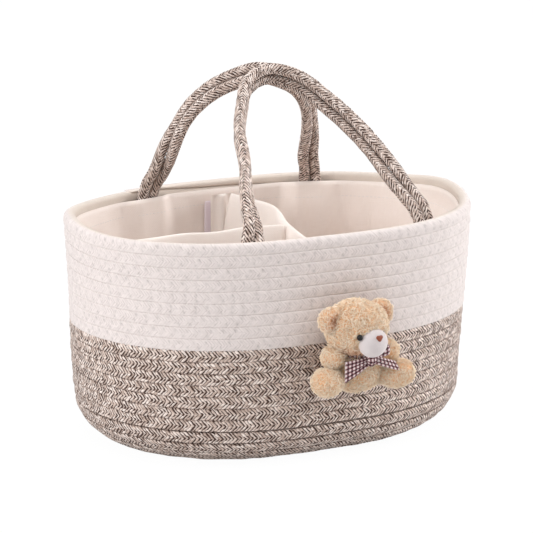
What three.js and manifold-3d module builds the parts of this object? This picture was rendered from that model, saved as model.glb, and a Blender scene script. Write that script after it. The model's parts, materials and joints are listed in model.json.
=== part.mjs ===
// Diaper caddy of coiled cotton rope, with two rope handles, a canvas liner, a removable padded divider and
// a small plush bear on its front wall. Millimetres, +Z up, the long side with the bear faces -Y.
// The origin is on the underside of the base, at the middle of the basket.
import * as THREE from 'three';
import { mergeVertices } from 'three/addons/utils/BufferGeometryUtils.js';
import Module from 'manifold-3d';

const wasm = await Module();
wasm.setup();

// Basket outline, to the outer face of the wall
const rimHalfLength = 179;
const rimHalfWidth = 123.5;
const baseHalfLength = 170;
const baseHalfWidth = 128;
const basketHeight = 190;
const baseCornerRadius = 36;
const ovalShare = 0.32; // 0 gives straight sides and round ends, 1 an ellipse

// Rope of the wall
const ropeDiameter = 10;
const turnGap = 0.5;
const whiteCourses = 9;
const ropeFlatShare = 0.56; // width of the rope's pressed faces, of its height
const colourGap = 0.4;
const baseCentreShare = 0.1; // how far the first turn is drawn to the middle, of the turns' spacing

// Clearance between pieces that touch
const seatGap = 0.3;

// Liner
const linerThickness = 1.5;
const linerDrop = 8; // from the rim down to the liner's top edge
const linerBulgeDepth = 10.4; // room for the handles' tails behind the liner
const linerBulgeSlope = 9;
const floorThickness = 3;
const floorEdgeInset = 3.5;
const linerFootAngle = 35; // degrees up the base corner at which the liner wall begins

// Handles
const handleRopeDiameter = 9.6;
const handleRopeGap = 0.4;
const frontFootSpacing = 163;
const rearFootSpacing = 156;
const frontFootOffset = 18.5; // the feet sit a little to the right of the middle
const rearFootOffset = 8.6;
const hingeAboveRim = 8;
const hingeInset = 5; // the ropes lean inwards above the rim
const hingeDraw = 3; // and towards each other
const frontLean = 49; // degrees from upright, inwards
const rearLean = 29.5;
const frontArchHeight = 154;
const rearArchHeight = 114.5;
const frontTurns = [71, 71]; // degrees that each leg's pair of ropes turns from the line of the feet
const rearTurns = [90, 45];
const tailLength = 68;
const handleStraight = 6; // the pair starts to turn here, above the foot
const handleTurned = 66; // and has turned in full from here on
// One half of each arch, from a foot to the top: shares of half the span and of the height
const frontArchShares = [
  [1, 0], [0.915, 0.162], [0.794, 0.41], [0.654, 0.604], [0.476, 0.78], [0.3, 0.925], [0, 1],
];
const rearArchShares = [
  [1, 0], [0.932, 0.11], [0.832, 0.4], [0.68, 0.69], [0.466, 0.855], [0.186, 0.965], [0, 1],
];
const ropeEndShares = [0.35, 0.72, 0.95]; // rings of a rope's round end, as shares of its radius

// Divider
const crossThickness = 8;
const stemThickness = 7;
const panelSeamThickness = 4.5;
const panelBottomGap = 0.7;
const panelCornerRise = 9;
const rearRootOffset = 11;
const frontRootOffset = 14;
const bowOffset = 33; // the cross panel bows to the right behind the stem
const bowSide = 62;
const junctionOffset = 25; // where the stem meets the cross panel
const junctionSide = 12;
const stemRootSide = 1;
const rearTopHeight = 178;
const bowTopHeight = 173;
const junctionTopHeight = 168;
const frontTopHeight = 165;
const stemTopHeight = 173;
const tabShift = 8; // the tabs fold back to the left of the panel's ends
const tabWidth = 22;
const tabThickness = 5;
const tabCorner = 2;
const tabBottomHeight = 34;
const tabTopHeight = 178;
const tapeThickness = 1;
const tapeWidth = 18;
const tapeInset = 6;
const loopTapeWidth = 28;
const loopTapeShift = 8; // the loop tape shows beside the tab
// Outline of the padding: share of half the thickness at a share of the height
const padShares = [[0.8, 0.07], [1, 0.3], [1, 0.7], [0.8, 0.93]];

// Bear
const bearOffset = 11;
const bearBodyRadii = [21, 18.5, 23];
const bearBodyHeight = 82;
const bearBodyDepth = 18;
const bearHeadRadii = [25.5, 21, 24];
const bearHeadHeight = 120.5;
const bearHeadDepth = 25;
const bearHeadShift = -3;
const bearHeadTurn = 10; // degrees, towards +X
const earRadius = 10;
const earThickness = 7;
const earSpread = 25;
const earRise = 11;
const muzzleRadii = [13, 9.5, 12];
const muzzleReach = 19.5;
const muzzleShift = 2.5;
const muzzleDrop = 11;
const noseRadius = 2.7;
const eyeRadius = 2.4;
const eyeSpread = 10.5;
const eyeDrop = 4.6;
const armRadii = [8, 9.6];
const armShoulder = [13, 20, 100];
const armHand = [32, 30, 94];
const legRadii = [10.5, 12.2];
const legHip = [14, 21, 75];
const legToe = [45.5, 37, 78.5];
const ribbonHeight = 8;
const ribbonThickness = 1.4;
const collarRadii = [21, 16.5];
const collarMiddle = [1, 22, 100];
const collarTilt = 14; // degrees, lower in front
const collarRoll = 9; // degrees, higher on the right
const knotRadii = [4.2, 3.8, 5.6];
const knotDrop = 1.5;
const bowTailReach = 24;
const leftTailEnds = [96.5, 79];
const rightTailEnds = [93, 83.5];
const bowRootHalf = 4.6;
// Outline of a limb: shares of its root and end radii at a share of its length
const limbShares = [[0.75, 0, 0], [1, 0, 0.18], [0.5, 0.5, 0.45], [0, 1, 0.68], [0, 0.8, 0.9]];

// Steps of the facets
const turnSteps = 24;
const baseStepSkip = 2; // the middle of the base has fewer steps
const baseFineTurns = 2; // but its last turns have them all
const jogSteps = 3;
const handleSteps = 26;
const handleSides = 8;
const limbSides = 8;
const crossSteps = 8;
const stemSteps = 6;
const collarSteps = 16;

const degree = Math.PI / 180;
const ropeRadius = ropeDiameter / 2;
const stepAngle = 2 * Math.PI / turnSteps;

// Finishes
const finishes = {
  mottledRope: new THREE.MeshStandardMaterial({ color: 0x9c8577, roughness: 0.9, metalness: 0 }),
  whiteRope: new THREE.MeshStandardMaterial({ color: 0xece7e2, roughness: 0.9, metalness: 0 }),
  canvas: new THREE.MeshStandardMaterial({ color: 0xe6dccd, roughness: 0.85, metalness: 0 }),
  tape: new THREE.MeshStandardMaterial({ color: 0xdfd6df, roughness: 0.8, metalness: 0 }),
  plush: new THREE.MeshStandardMaterial({ color: 0xe8c493, roughness: 1, metalness: 0 }),
  muzzleCloth: new THREE.MeshStandardMaterial({ color: 0xf1efee, roughness: 0.95, metalness: 0 }),
  nose: new THREE.MeshStandardMaterial({ color: 0x94503a, roughness: 0.6, metalness: 0 }),
  eye: new THREE.MeshStandardMaterial({ color: 0x121212, roughness: 0.2, metalness: 0 }),
  ribbon: new THREE.MeshStandardMaterial({ color: 0x6d3a48, roughness: 0.7, metalness: 0 }),
};

const caddy = new THREE.Group();

function addPiece(parent, name, geometry, finish) {
  const mesh = new THREE.Mesh(geometry, finishes[finish].clone());
  mesh.name = name;
  parent.add(mesh);
  return mesh;
}

// Closed solid through a row of rings, with a flat cap on each end
function loft(rings) {
  const sides = rings[0].length;
  const positions = rings.flat().flatMap((point) => [point.x, point.y, point.z]);
  const index = [];
  for (let ring = 0; ring + 1 < rings.length; ring += 1) {
    for (let side = 0; side < sides; side += 1) {
      const here = ring * sides + side;
      const next = ring * sides + (side + 1) % sides;
      index.push(here, next, next + sides, here, next + sides, here + sides);
    }
  }
  const last = (rings.length - 1) * sides;
  for (let side = 1; side + 1 < sides; side += 1) {
    index.push(0, side + 1, side);
    index.push(last, last + side, last + side + 1);
  }
  return facingOut(positions, index);
}

// Closed ring-shaped solid: each ring is one section, and the last joins the first
function loopLoft(sections) {
  const sides = sections[0].length;
  const positions = sections.flat().flatMap((point) => [point.x, point.y, point.z]);
  const index = [];
  for (let section = 0; section < sections.length; section += 1) {
    const after = (section + 1) % sections.length;
    for (let side = 0; side < sides; side += 1) {
      const beside = (side + 1) % sides;
      const corners = [[section, side], [section, beside], [after, beside], [after, side]];
      const [a, b, c, d] = corners.map(([row, column]) => row * sides + column);
      index.push(a, b, c, a, c, d);
    }
  }
  return facingOut(positions, index);
}

function facingOut(positions, index) {
  const at = (corner) => new THREE.Vector3().fromArray(positions, corner * 3);
  let volume = 0;
  for (let first = 0; first < index.length; first += 3) {
    const [a, b, c] = [at(index[first]), at(index[first + 1]), at(index[first + 2])];
    volume += a.dot(b.cross(c));
  }
  const order = volume < 0 ? index.slice().reverse() : index;
  const geometry = new THREE.BufferGeometry();
  geometry.setAttribute('position', new THREE.Float32BufferAttribute(positions, 3));
  geometry.setIndex(order);
  geometry.computeVertexNormals();
  return geometry;
}

function solidFrom(geometry) {
  const bare = geometry.clone();
  bare.deleteAttribute('normal');
  bare.deleteAttribute('uv');
  const merged = mergeVertices(bare);
  const vertProperties = new Float32Array(merged.attributes.position.array);
  const triVerts = new Uint32Array(merged.index.array);
  return new wasm.Manifold(new wasm.Mesh({ numProp: 3, vertProperties, triVerts }));
}

function geometryFrom(solid) {
  const mesh = solid.getMesh();
  const positions = [];
  for (let vertex = 0; vertex < mesh.vertProperties.length / mesh.numProp; vertex += 1) {
    positions.push(...mesh.vertProperties.slice(vertex * mesh.numProp, vertex * mesh.numProp + 3));
  }
  return facingOut(positions, Array.from(mesh.triVerts));
}

// The wall's profile. A level counts turns of rope from the middle of the base to the rim.
const baseReach = baseHalfWidth - baseCornerRadius;
const cornerRadius = baseCornerRadius - ropeRadius;
const cornerRun = cornerRadius * Math.PI / 2;
const wallBottom = { radius: baseHalfWidth - ropeRadius, height: baseCornerRadius };
const wallTop = { radius: rimHalfWidth - ropeRadius, height: basketHeight - ropeRadius + turnGap / 2 };
const wallRun = Math.hypot(wallTop.radius - wallBottom.radius, wallTop.height - wallBottom.height);
const jogStartIndex = 4;
const firstAngle = stepAngle * (jogStartIndex + 0.5);
const startLevel = firstAngle / (2 * Math.PI);
const baseTurns = Math.round(baseReach / ropeDiameter);
const basePitch = baseReach / baseTurns;
const wallTurns = Math.round((cornerRun + wallRun) / ropeDiameter);
const coursePitch = (cornerRun + wallRun) / (wallTurns + startLevel);
const allTurns = baseTurns + wallTurns;
const ropeHeight = coursePitch - turnGap;
const baseCore = baseHalfLength - baseHalfWidth;
const rimCore = rimHalfLength - rimHalfWidth;

function profileAt(level) {
  const oval = ovalShare * Math.min(1, level / baseTurns);
  if (level <= baseTurns) {
    const radius = level * basePitch;
    return { radius, height: ropeRadius, core: baseCore, oval, along: [1, 0], out: [0, -1] };
  }
  const run = (level - baseTurns) * coursePitch;
  if (run <= cornerRun) {
    const turn = run / cornerRadius;
    const along = [Math.cos(turn), Math.sin(turn)];
    const radius = baseReach + cornerRadius * along[1];
    const height = ropeRadius + cornerRadius * (1 - along[0]);
    return { radius, height, core: baseCore, oval, along, out: [along[1], -along[0]] };
  }
  const share = (run - cornerRun) / wallRun;
  const rise = [wallTop.radius - wallBottom.radius, wallTop.height - wallBottom.height];
  const along = rise.map((value) => value / wallRun);
  return {
    radius: wallBottom.radius + rise[0] * share,
    height: wallBottom.height + rise[1] * share,
    core: baseCore + (rimCore - baseCore) * share,
    oval,
    along,
    out: [along[1], -along[0]],
  };
}

function levelAtHeight(height) {
  const share = (height - wallBottom.height) / (wallTop.height - wallBottom.height);
  return baseTurns + (cornerRun + share * wallRun) / coursePitch;
}

// A level just above the base corner, from which what leans with the wall is measured
const footLevel = levelAtHeight(wallBottom.height + ropeRadius);

// A point of the outline at an angle; outwards and upwards are counted from the middle of the rope
function wallPoint(level, angle, outwards, upwards) {
  const profile = profileAt(level);
  const radius = profile.radius + outwards * profile.out[0] + upwards * profile.along[0];
  const height = profile.height + outwards * profile.out[1] + upwards * profile.along[1];
  const cosine = Math.cos(angle);
  const core = profile.core * Math.sign(cosine) * Math.abs(cosine) ** profile.oval;
  return new THREE.Vector3(core + radius * cosine, radius * Math.sin(angle), height);
}

// The same, on the flat facets between the outline's corners
function facetPoint(level, angle, outwards, upwards = 0) {
  const place = angle / stepAngle - 0.5;
  const before = Math.floor(place);
  const from = wallPoint(level, (before + 0.5) * stepAngle, outwards, upwards);
  const to = wallPoint(level, (before + 1.5) * stepAngle, outwards, upwards);
  return from.lerp(to, place - before);
}

// The angle at which a facet point has a given x, on the rear side; the front side is its mirror
function angleAtX(x, level, outwards) {
  let low = 0;
  let high = Math.PI;
  for (let halving = 0; halving < 40; halving += 1) {
    const middle = (low + high) / 2;
    if (facetPoint(level, middle, outwards).x > x) {
      low = middle;
    } else {
      high = middle;
    }
  }
  return (low + high) / 2;
}

// Rope coils. Each turn lies level and climbs to the next over a short jog in the middle of the rear side.
function climb(turn) {
  const part = turn - Math.floor(turn);
  const share = Math.min(1, part * turnSteps / jogSteps);
  const rise = share * share * (3 - 2 * share);
  const level = Math.min(1, turn / baseTurns);
  return turn + startLevel + level * (rise - part);
}

function ropeSection(level, angle, halfHeight, lift) {
  const flat = halfHeight * ropeFlatShare;
  const corners = [
    [halfHeight, 0], [flat, ropeRadius], [-flat, ropeRadius],
    [-halfHeight, 0], [-flat, -ropeRadius], [flat, -ropeRadius],
  ];
  const draw = basePitch * baseCentreShare * Math.max(0, 1 - level / baseTurns);
  return corners.map(([upwards, outwards]) => {
    const point = wallPoint(level, angle, outwards, upwards + lift);
    point.y -= draw;
    point.z = Math.max(point.z, 0);
    return point;
  });
}

function coilRings(fromStep, toStep) {
  const rings = [];
  for (let step = fromStep; step <= toStep; step += 1) {
    const turn = step / turnSteps;
    if (turn < baseTurns - baseFineTurns && step % baseStepSkip !== 0) {
      continue;
    }
    rings.push(ropeSection(climb(turn), firstAngle + step * stepAngle, ropeHeight / 2, 0));
  }
  return rings;
}

// The upper rope ends as a wedge that fills the jog of the turn below it
function endWedge() {
  const rings = [];
  const topLevel = climb(allTurns);
  for (let step = 1; step < jogSteps; step += 1) {
    const turn = allTurns + step / turnSteps;
    const below = climb(turn - 1);
    const drop = (topLevel - below) * coursePitch;
    const height = drop - turnGap;
    const lift = (ropeHeight - height) / 2;
    rings.push(ropeSection(topLevel, firstAngle + turn * 2 * Math.PI, height / 2, lift));
  }
  return rings;
}

// Shift one end of a coil back along the rope, to leave a gap at the change of colour
function drawBack(rings, end, distance) {
  const inner = end === 0 ? 1 : rings.length - 2;
  const outer = end === 0 ? 0 : rings.length - 1;
  rings[outer] = rings[outer].map((point, corner) => {
    const towards = rings[inner][corner].clone().sub(point).normalize();
    return point.clone().addScaledVector(towards, distance);
  });
}

function leastSelfGap(rings, stepsApart) {
  const rows = [];
  rings.forEach((ring, row) => {
    rows.push(ring);
    if (row + 1 < rings.length) {
      rows.push(ring.map((point, corner) => point.clone().lerp(rings[row + 1][corner], 0.5)));
    }
  });
  let least = Infinity;
  for (let row = 0; row < rows.length; row += 1) {
    for (let other = row + 2 * stepsApart; other < rows.length; other += 1) {
      for (const point of rows[row]) {
        for (const far of rows[other]) {
          least = Math.min(least, point.distanceToSquared(far));
        }
      }
    }
  }
  return Math.sqrt(least);
}

const borderStep = (allTurns - whiteCourses) * turnSteps;
const mottledRings = coilRings(0, borderStep);
drawBack(mottledRings, mottledRings.length - 1, colourGap / 2);
const whiteRings = coilRings(borderStep, allTurns * turnSteps).concat(endWedge());
drawBack(whiteRings, 0, colourGap / 2);
const halfTurn = turnSteps / 2 / baseStepSkip;
console.log('least gap of the mottled coil to itself', leastSelfGap(mottledRings, halfTurn).toFixed(3));
console.log('least gap of the white coil to itself', leastSelfGap(whiteRings, halfTurn).toFixed(3));
addPiece(caddy, 'mottled_rope_coil', loft(mottledRings), 'mottledRope');
addPiece(caddy, 'white_rope_coil', loft(whiteRings), 'whiteRope');

// Handle feet: where the ropes come up between the wall and the liner
const rimLevel = levelAtHeight(wallTop.height);
const tailDepth = ropeRadius + seatGap + handleRopeGap / 2 + handleRopeDiameter / 2;
const hingeHeight = basketHeight + hingeAboveRim;
const tailTopHeight = hingeHeight - handleRopeDiameter / 2 - seatGap;
const tailBottomHeight = basketHeight - tailLength;
const ribbonHalf = handleRopeDiameter / 2 + handleRopeGap / 2;

const handles = [
  {
    name: 'front', side: -1, lean: frontLean, height: frontArchHeight, shares: frontArchShares,
    turns: frontTurns, spacing: frontFootSpacing, offset: frontFootOffset,
  },
  {
    name: 'rear', side: 1, lean: rearLean, height: rearArchHeight, shares: rearArchShares,
    turns: rearTurns, spacing: rearFootSpacing, offset: rearFootOffset,
  },
];
const feet = handles.flatMap((handle) => [-1, 1].map((end) => (
  { handle, end, x: handle.offset + end * handle.spacing / 2 })));

// A point behind the liner at a given x, on the handle's side of the basket
function behindLiner(handle, x, level) {
  return facetPoint(level, handle.side * angleAtX(x, level, -tailDepth), -tailDepth);
}

// The middle of a handle's end, where it hinges over its tails
function hingePoint(foot) {
  const point = behindLiner(foot.handle, foot.x, rimLevel);
  return point.set(point.x - foot.end * hingeDraw, point.y - foot.handle.side * hingeInset, hingeHeight);
}

// Liner
const linerTopHeight = basketHeight - linerDrop;
const linerFace = -(ropeRadius + seatGap);
const linerBulgeHalf = 2 * ribbonHalf + seatGap;

function linerBulge(level, angle) {
  const here = facetPoint(level, angle, -tailDepth);
  const shares = feet.map((foot) => {
    const away = Math.abs(here.x - foot.x) - linerBulgeHalf;
    return here.y * foot.handle.side > 0 ? Math.min(1, 1 - away / linerBulgeSlope) : 0;
  });
  return Math.max(0, ...shares);
}

// The angles of the liner's columns at a level: the outline's corners, and both edges of each bulge
function linerAngles(level) {
  const angles = [];
  for (let step = 0; step < turnSteps; step += 1) {
    angles.push((step + 0.5) * stepAngle);
  }
  for (const foot of feet) {
    for (const reach of [linerBulgeHalf, linerBulgeHalf + linerBulgeSlope]) {
      for (const way of [-1, 1]) {
        const angle = foot.handle.side * angleAtX(foot.x + way * reach, level, -tailDepth);
        angles.push((angle + 2 * Math.PI) % (2 * Math.PI));
      }
    }
  }
  return angles.sort((first, second) => first - second);
}

function linerWall() {
  const bulgeFoot = levelAtHeight(tailBottomHeight - linerBulgeSlope);
  const bulgeTop = levelAtHeight(tailBottomHeight);
  const cornerFoot = baseTurns + linerFootAngle * degree * cornerRadius / coursePitch;
  const cornerMiddle = (cornerFoot + baseTurns + cornerRun / coursePitch) / 2;
  const rows = [
    [cornerFoot, 0], [cornerMiddle, 0], [baseTurns + cornerRun / coursePitch, 0],
    [bulgeFoot, 0], [bulgeTop, 1], [levelAtHeight(linerTopHeight), 1],
  ];
  const rings = rows.map(([level, share]) => linerAngles(level).map((angle) => {
    const depth = linerFace - share * linerBulge(level, angle) * linerBulgeDepth;
    return [facetPoint(level, angle, depth), facetPoint(level, angle, depth - linerThickness)];
  }));
  const sections = rings[0].map((_, column) => {
    const outer = rings.map((ring) => ring[column][0]);
    const inner = rings.map((ring) => ring[column][1]);
    return outer.concat(inner.reverse());
  });
  return loopLoft(sections);
}

function linerFloor() {
  const bottom = [];
  const top = [];
  const floorFoot = ropeDiameter + seatGap;
  const floorTop = floorFoot + floorThickness;
  for (let step = 0; step < turnSteps; step += 1) {
    const angle = (step + 0.5) * stepAngle;
    bottom.push(wallPoint(baseTurns, angle, 0, 0).setZ(floorFoot));
    top.push(wallPoint(baseTurns, angle, 0, floorThickness + floorEdgeInset).setZ(floorTop));
  }
  return loft([bottom, top]);
}

addPiece(caddy, 'liner_wall', linerWall(), 'canvas');
addPiece(caddy, 'liner_floor', linerFloor(), 'canvas');

// Handles
function roundSection(centre, across, over, radius, sides) {
  const ring = [];
  for (let side = 0; side < sides; side += 1) {
    const angle = (side + 0.5) / sides * 2 * Math.PI;
    const reach = radius / Math.cos(Math.PI / sides);
    ring.push(centre.clone()
      .addScaledVector(across, reach * Math.cos(angle))
      .addScaledVector(over, reach * Math.sin(angle)));
  }
  return ring;
}

const handleRadius = handleRopeDiameter / 2 * Math.cos(Math.PI / handleSides);

function archCurve({ shares, height }, half) {
  const left = shares.map(([across, up]) => new THREE.Vector3(-half * across, 0, height * up));
  const right = left.slice(0, -1).reverse().map((point) => new THREE.Vector3(-point.x, 0, point.z));
  return new THREE.CatmullRomCurve3(left.concat(right), false, 'centripetal');
}

// One rope of a handle in the handle's own upright frame. The two ropes lie side by side along the wall at
// the feet; above them the outer rope turns to the upper side of the leaning arch.
function handleRope(curve, { side, turns }, rope) {
  const rings = [];
  const length = curve.getLength();
  const upperSide = new THREE.Vector3(0, side, 0);
  const upright = new THREE.Vector3(0, 0, 1);
  for (let step = 0; step <= handleSteps; step += 1) {
    const share = step / handleSteps;
    const centre = curve.getPointAt(share);
    const along = curve.getTangentAt(share);
    const fromFoot = Math.min(share, 1 - share) * length;
    const towardsRight = THREE.MathUtils.smoothstep(share, 1 / 4, 3 / 4);
    const legTurn = THREE.MathUtils.lerp(turns[0], turns[1], towardsRight);
    const turned = legTurn * degree * THREE.MathUtils.smoothstep(fromFoot, handleStraight, handleTurned);
    if (fromFoot < handleStraight / 2) {
      along.copy(upright).multiplyScalar(share < 1 / 2 ? 1 : -1);
    }
    const outward = new THREE.Vector3(-along.z, 0, along.x);
    const across = outward.multiplyScalar(Math.cos(turned)).addScaledVector(upperSide, Math.sin(turned));
    const over = along.clone().cross(across).normalize();
    const middle = centre.clone().addScaledVector(across, rope * ribbonHalf);
    rings.push(roundSection(middle, across, over, handleRadius, handleSides));
  }
  return loft(withRoundEnds(rings));
}

// Round both ends of a rope about the middle of its end section, so that it can turn over its tail
function withRoundEnds(rings) {
  const capped = rings.slice();
  for (const end of [0, rings.length - 1]) {
    const inner = end === 0 ? 1 : end - 1;
    const centre = middleOf(rings[end]);
    const outwards = centre.clone().sub(middleOf(rings[inner])).normalize();
    const caps = ropeEndShares.map((share) => {
      const reach = Math.sqrt(1 - share * share);
      return rings[end].map((point) => centre.clone()
        .addScaledVector(point.clone().sub(centre), reach)
        .addScaledVector(outwards, share * handleRopeDiameter / 2));
    });
    if (end === 0) {
      capped.unshift(...caps.reverse());
    } else {
      capped.push(...caps);
    }
  }
  return capped;
}

function middleOf(ring) {
  const sum = new THREE.Vector3();
  ring.forEach((point) => sum.add(point));
  return sum.divideScalar(ring.length);
}

// A rope's tail, from under the handle down between the wall and the liner
function tailRope(foot, hingeLine, rope) {
  const x = foot.x + rope * ribbonHalf;
  const heights = [tailTopHeight, wallTop.height, linerTopHeight, tailBottomHeight];
  const rings = heights.map((height, row) => {
    if (row === 0) {
      const top = hingePoint(foot).setZ(height).addScaledVector(hingeLine, rope * ribbonHalf);
      const over = new THREE.Vector3(0, 0, 1).cross(hingeLine);
      return roundSection(top, hingeLine, over, handleRadius, handleSides);
    }
    const level = levelAtHeight(height);
    const centre = behindLiner(foot.handle, x, level).setZ(height);
    const across = behindLiner(foot.handle, x + ribbonHalf, level)
      .sub(behindLiner(foot.handle, x - ribbonHalf, level)).setZ(0).normalize();
    const over = new THREE.Vector3(0, 0, 1).cross(across);
    return roundSection(centre, across, over, handleRadius, handleSides);
  });
  return loft(rings);
}

const ropeNames = [['inner', -1], ['outer', 1]];
const endNames = { '-1': 'left', 1: 'right' };

for (const handle of handles) {
  const ownFeet = feet.filter((foot) => foot.handle === handle);
  const [left, right] = ownFeet.map(hingePoint);
  const hingeLine = right.clone().sub(left).normalize();
  const frame = new THREE.Group();
  frame.position.copy(left.clone().add(right).divideScalar(2));
  frame.rotation.z = Math.atan2(right.y - left.y, right.x - left.x);
  const leaning = new THREE.Group();
  leaning.rotation.x = handle.side * handle.lean * degree;
  frame.add(leaning);
  caddy.add(frame);
  const curve = archCurve(handle, left.distanceTo(right) / 2);
  for (const [ropeName, rope] of ropeNames) {
    const geometry = handleRope(curve, handle, rope);
    addPiece(leaning, `${handle.name}_handle_${ropeName}_rope`, geometry, 'mottledRope');
    for (const foot of ownFeet) {
      const tail = tailRope(foot, hingeLine, rope * foot.end);
      addPiece(caddy, `${handle.name}_${endNames[foot.end]}_${ropeName}_tail`, tail, 'mottledRope');
    }
  }
}

// The left end wall leans, and the divider's stem, its tab and its tapes lean with it
const linerInner = linerFace - linerThickness;
const linerTopLevel = levelAtHeight(linerTopHeight);
const endFoot = facetPoint(footLevel, Math.PI, linerInner);
const endTop = facetPoint(linerTopLevel, Math.PI, linerInner);
const endSlope = (endTop.x - endFoot.x) / (endTop.z - endFoot.z);

// Divider: padded panels with a seam all round, lofted along a line in plan
function padSection(centre, across, bottom, top, thickness, lean) {
  const seam = Math.min(panelSeamThickness, thickness) / 4;
  const half = thickness / 2;
  const rise = top - bottom;
  const outline = [
    [-seam, 0], [seam, 0], ...padShares.map(([out, up]) => [half * out, up]),
    [seam, 1], [-seam, 1], ...padShares.toReversed().map(([out, up]) => [-half * out, up]),
  ];
  return outline.map(([out, up]) => {
    const height = bottom + rise * up;
    return centre.clone().addScaledVector(across, out)
      .addScaledVector(lean, height - endFoot.z).setZ(height);
  });
}

function padPanel(stations) {
  return loft(stations.map((station, row) => {
    const before = stations[Math.max(0, row - 1)];
    const after = stations[Math.min(stations.length - 1, row + 1)];
    const along = new THREE.Vector3(after.x - before.x, after.y - before.y, 0).normalize();
    const across = station.across ?? new THREE.Vector3(-along.y, along.x, 0);
    const centre = new THREE.Vector3(station.x, station.y, 0);
    const lean = station.lean ?? new THREE.Vector3();
    return padSection(centre, across, station.bottom, station.top, station.thickness, lean);
  }));
}

const sideAngle = Math.PI / 2;
const tapeStack = 3 * seatGap + 2 * tapeThickness;
const sideSeat = facetPoint(linerTopLevel, sideAngle, linerInner).y - tapeStack;
const panelRoot = sideSeat - tabThickness - seatGap;
const panelBottom = ropeDiameter + seatGap + floorThickness + panelBottomGap;

function crossPanel() {
  const route = new THREE.CatmullRomCurve3([
    new THREE.Vector3(rearRootOffset, panelRoot, rearTopHeight),
    new THREE.Vector3(bowOffset, bowSide, bowTopHeight),
    new THREE.Vector3(junctionOffset, junctionSide, junctionTopHeight),
    new THREE.Vector3(frontRootOffset, -panelRoot, frontTopHeight),
  ]);
  const stations = [];
  for (let step = 0; step <= crossSteps; step += 1) {
    const share = step / crossSteps;
    const point = route.getPointAt(share);
    const fromEnd = Math.min(share, 1 - share) * 2;
    stations.push({
      x: point.x,
      y: Math.sign(point.y) * Math.min(Math.abs(point.y), panelRoot),
      top: point.z,
      bottom: panelBottom + panelCornerRise * Math.max(0, 1 - fromEnd * crossSteps / 2) ** 2,
      thickness: panelSeamThickness + (crossThickness - panelSeamThickness) * Math.min(1, fromEnd * 2),
      across: step === 0 || step === crossSteps ? new THREE.Vector3(1, 0, 0) : undefined,
    });
  }
  return padPanel(stations);
}

addPiece(caddy, 'divider_cross_panel', crossPanel(), 'canvas');

function stemPanel() {
  const stations = [];
  const fromX = junctionOffset - crossThickness / 2 - 3 * seatGap;
  const toX = endFoot.x + tapeStack + tabThickness + seatGap;
  for (let step = 0; step <= stemSteps; step += 1) {
    const share = step / stemSteps;
    const fromEnd = Math.min(share, 1 - share) * 2;
    const cornerRise = share > 1 / 2 ? panelCornerRise * Math.max(0, 1 - fromEnd * stemSteps / 2) ** 2 : 0;
    stations.push({
      x: fromX + (toX - fromX) * share,
      y: junctionSide + (stemRootSide - junctionSide) * share,
      top: junctionTopHeight + (stemTopHeight - junctionTopHeight) * Math.sqrt(share),
      bottom: panelBottom + cornerRise,
      thickness: panelSeamThickness + (stemThickness - panelSeamThickness) * Math.min(1, fromEnd * 2),
      lean: new THREE.Vector3(share * endSlope, 0, 0),
    });
  }
  return padPanel(stations);
}

addPiece(caddy, 'divider_stem_panel', stemPanel(), 'canvas');

// A flat upright strip with round corners: width along x, thickness along y, foot at z = 0
function uprightStrip(width, thickness, height, corner) {
  const shape = new THREE.Shape();
  const half = width / 2;
  shape.moveTo(-half + corner, 0);
  shape.lineTo(half - corner, 0);
  shape.quadraticCurveTo(half, 0, half, corner);
  shape.lineTo(half, height - corner);
  shape.quadraticCurveTo(half, height, half - corner, height);
  shape.lineTo(-half + corner, height);
  shape.quadraticCurveTo(-half, height, -half, height - corner);
  shape.lineTo(-half, corner);
  shape.quadraticCurveTo(-half, 0, -half + corner, 0);
  const extrusion = { depth: thickness, bevelEnabled: false, curveSegments: 2 };
  const geometry = new THREE.ExtrudeGeometry(shape, extrusion);
  geometry.rotateX(Math.PI / 2);
  geometry.translate(0, thickness, 0);
  return geometry;
}

// Strips are stacked from the liner inwards: loop tape, hook tape, tab. Local +y points away from the wall.
const tapeHeight = tabTopHeight - tabBottomHeight - 2 * tapeInset;
const sideLean = Math.atan2(wallBottom.radius - wallTop.radius, wallTop.height - wallBottom.height);
const places = [
  { name: 'rear', turn: Math.PI, x: rearRootOffset - tabShift, y: sideSeat },
  { name: 'front', turn: 0, x: frontRootOffset - tabShift, y: -sideSeat },
];

for (const place of places) {
  const frame = new THREE.Group();
  frame.position.set(place.x, place.y, 0);
  frame.rotation.z = place.turn;
  caddy.add(frame);
  const tab = addPiece(frame, `divider_${place.name}_tab`,
    uprightStrip(tabWidth, tabThickness, tabTopHeight - tabBottomHeight, tabCorner), 'canvas');
  tab.position.set(0, 0, tabBottomHeight);
  const hook = addPiece(frame, `${place.name}_hook_tape`,
    uprightStrip(tapeWidth, tapeThickness, tapeHeight, tapeThickness), 'tape');
  hook.position.set(0, -seatGap - tapeThickness, tabBottomHeight + tapeInset);
  const loop = addPiece(frame, `${place.name}_loop_tape`,
    uprightStrip(loopTapeWidth, tapeThickness, tapeHeight, tapeThickness), 'tape');
  const loopTop = linerTopHeight - tabBottomHeight - tapeInset;
  loop.position.set(
    place.turn ? loopTapeShift : -loopTapeShift,
    -tapeStack + seatGap - loopTop * Math.sin(sideLean),
    tabBottomHeight + tapeInset,
  );
  loop.rotation.x = -sideLean;
}

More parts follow.
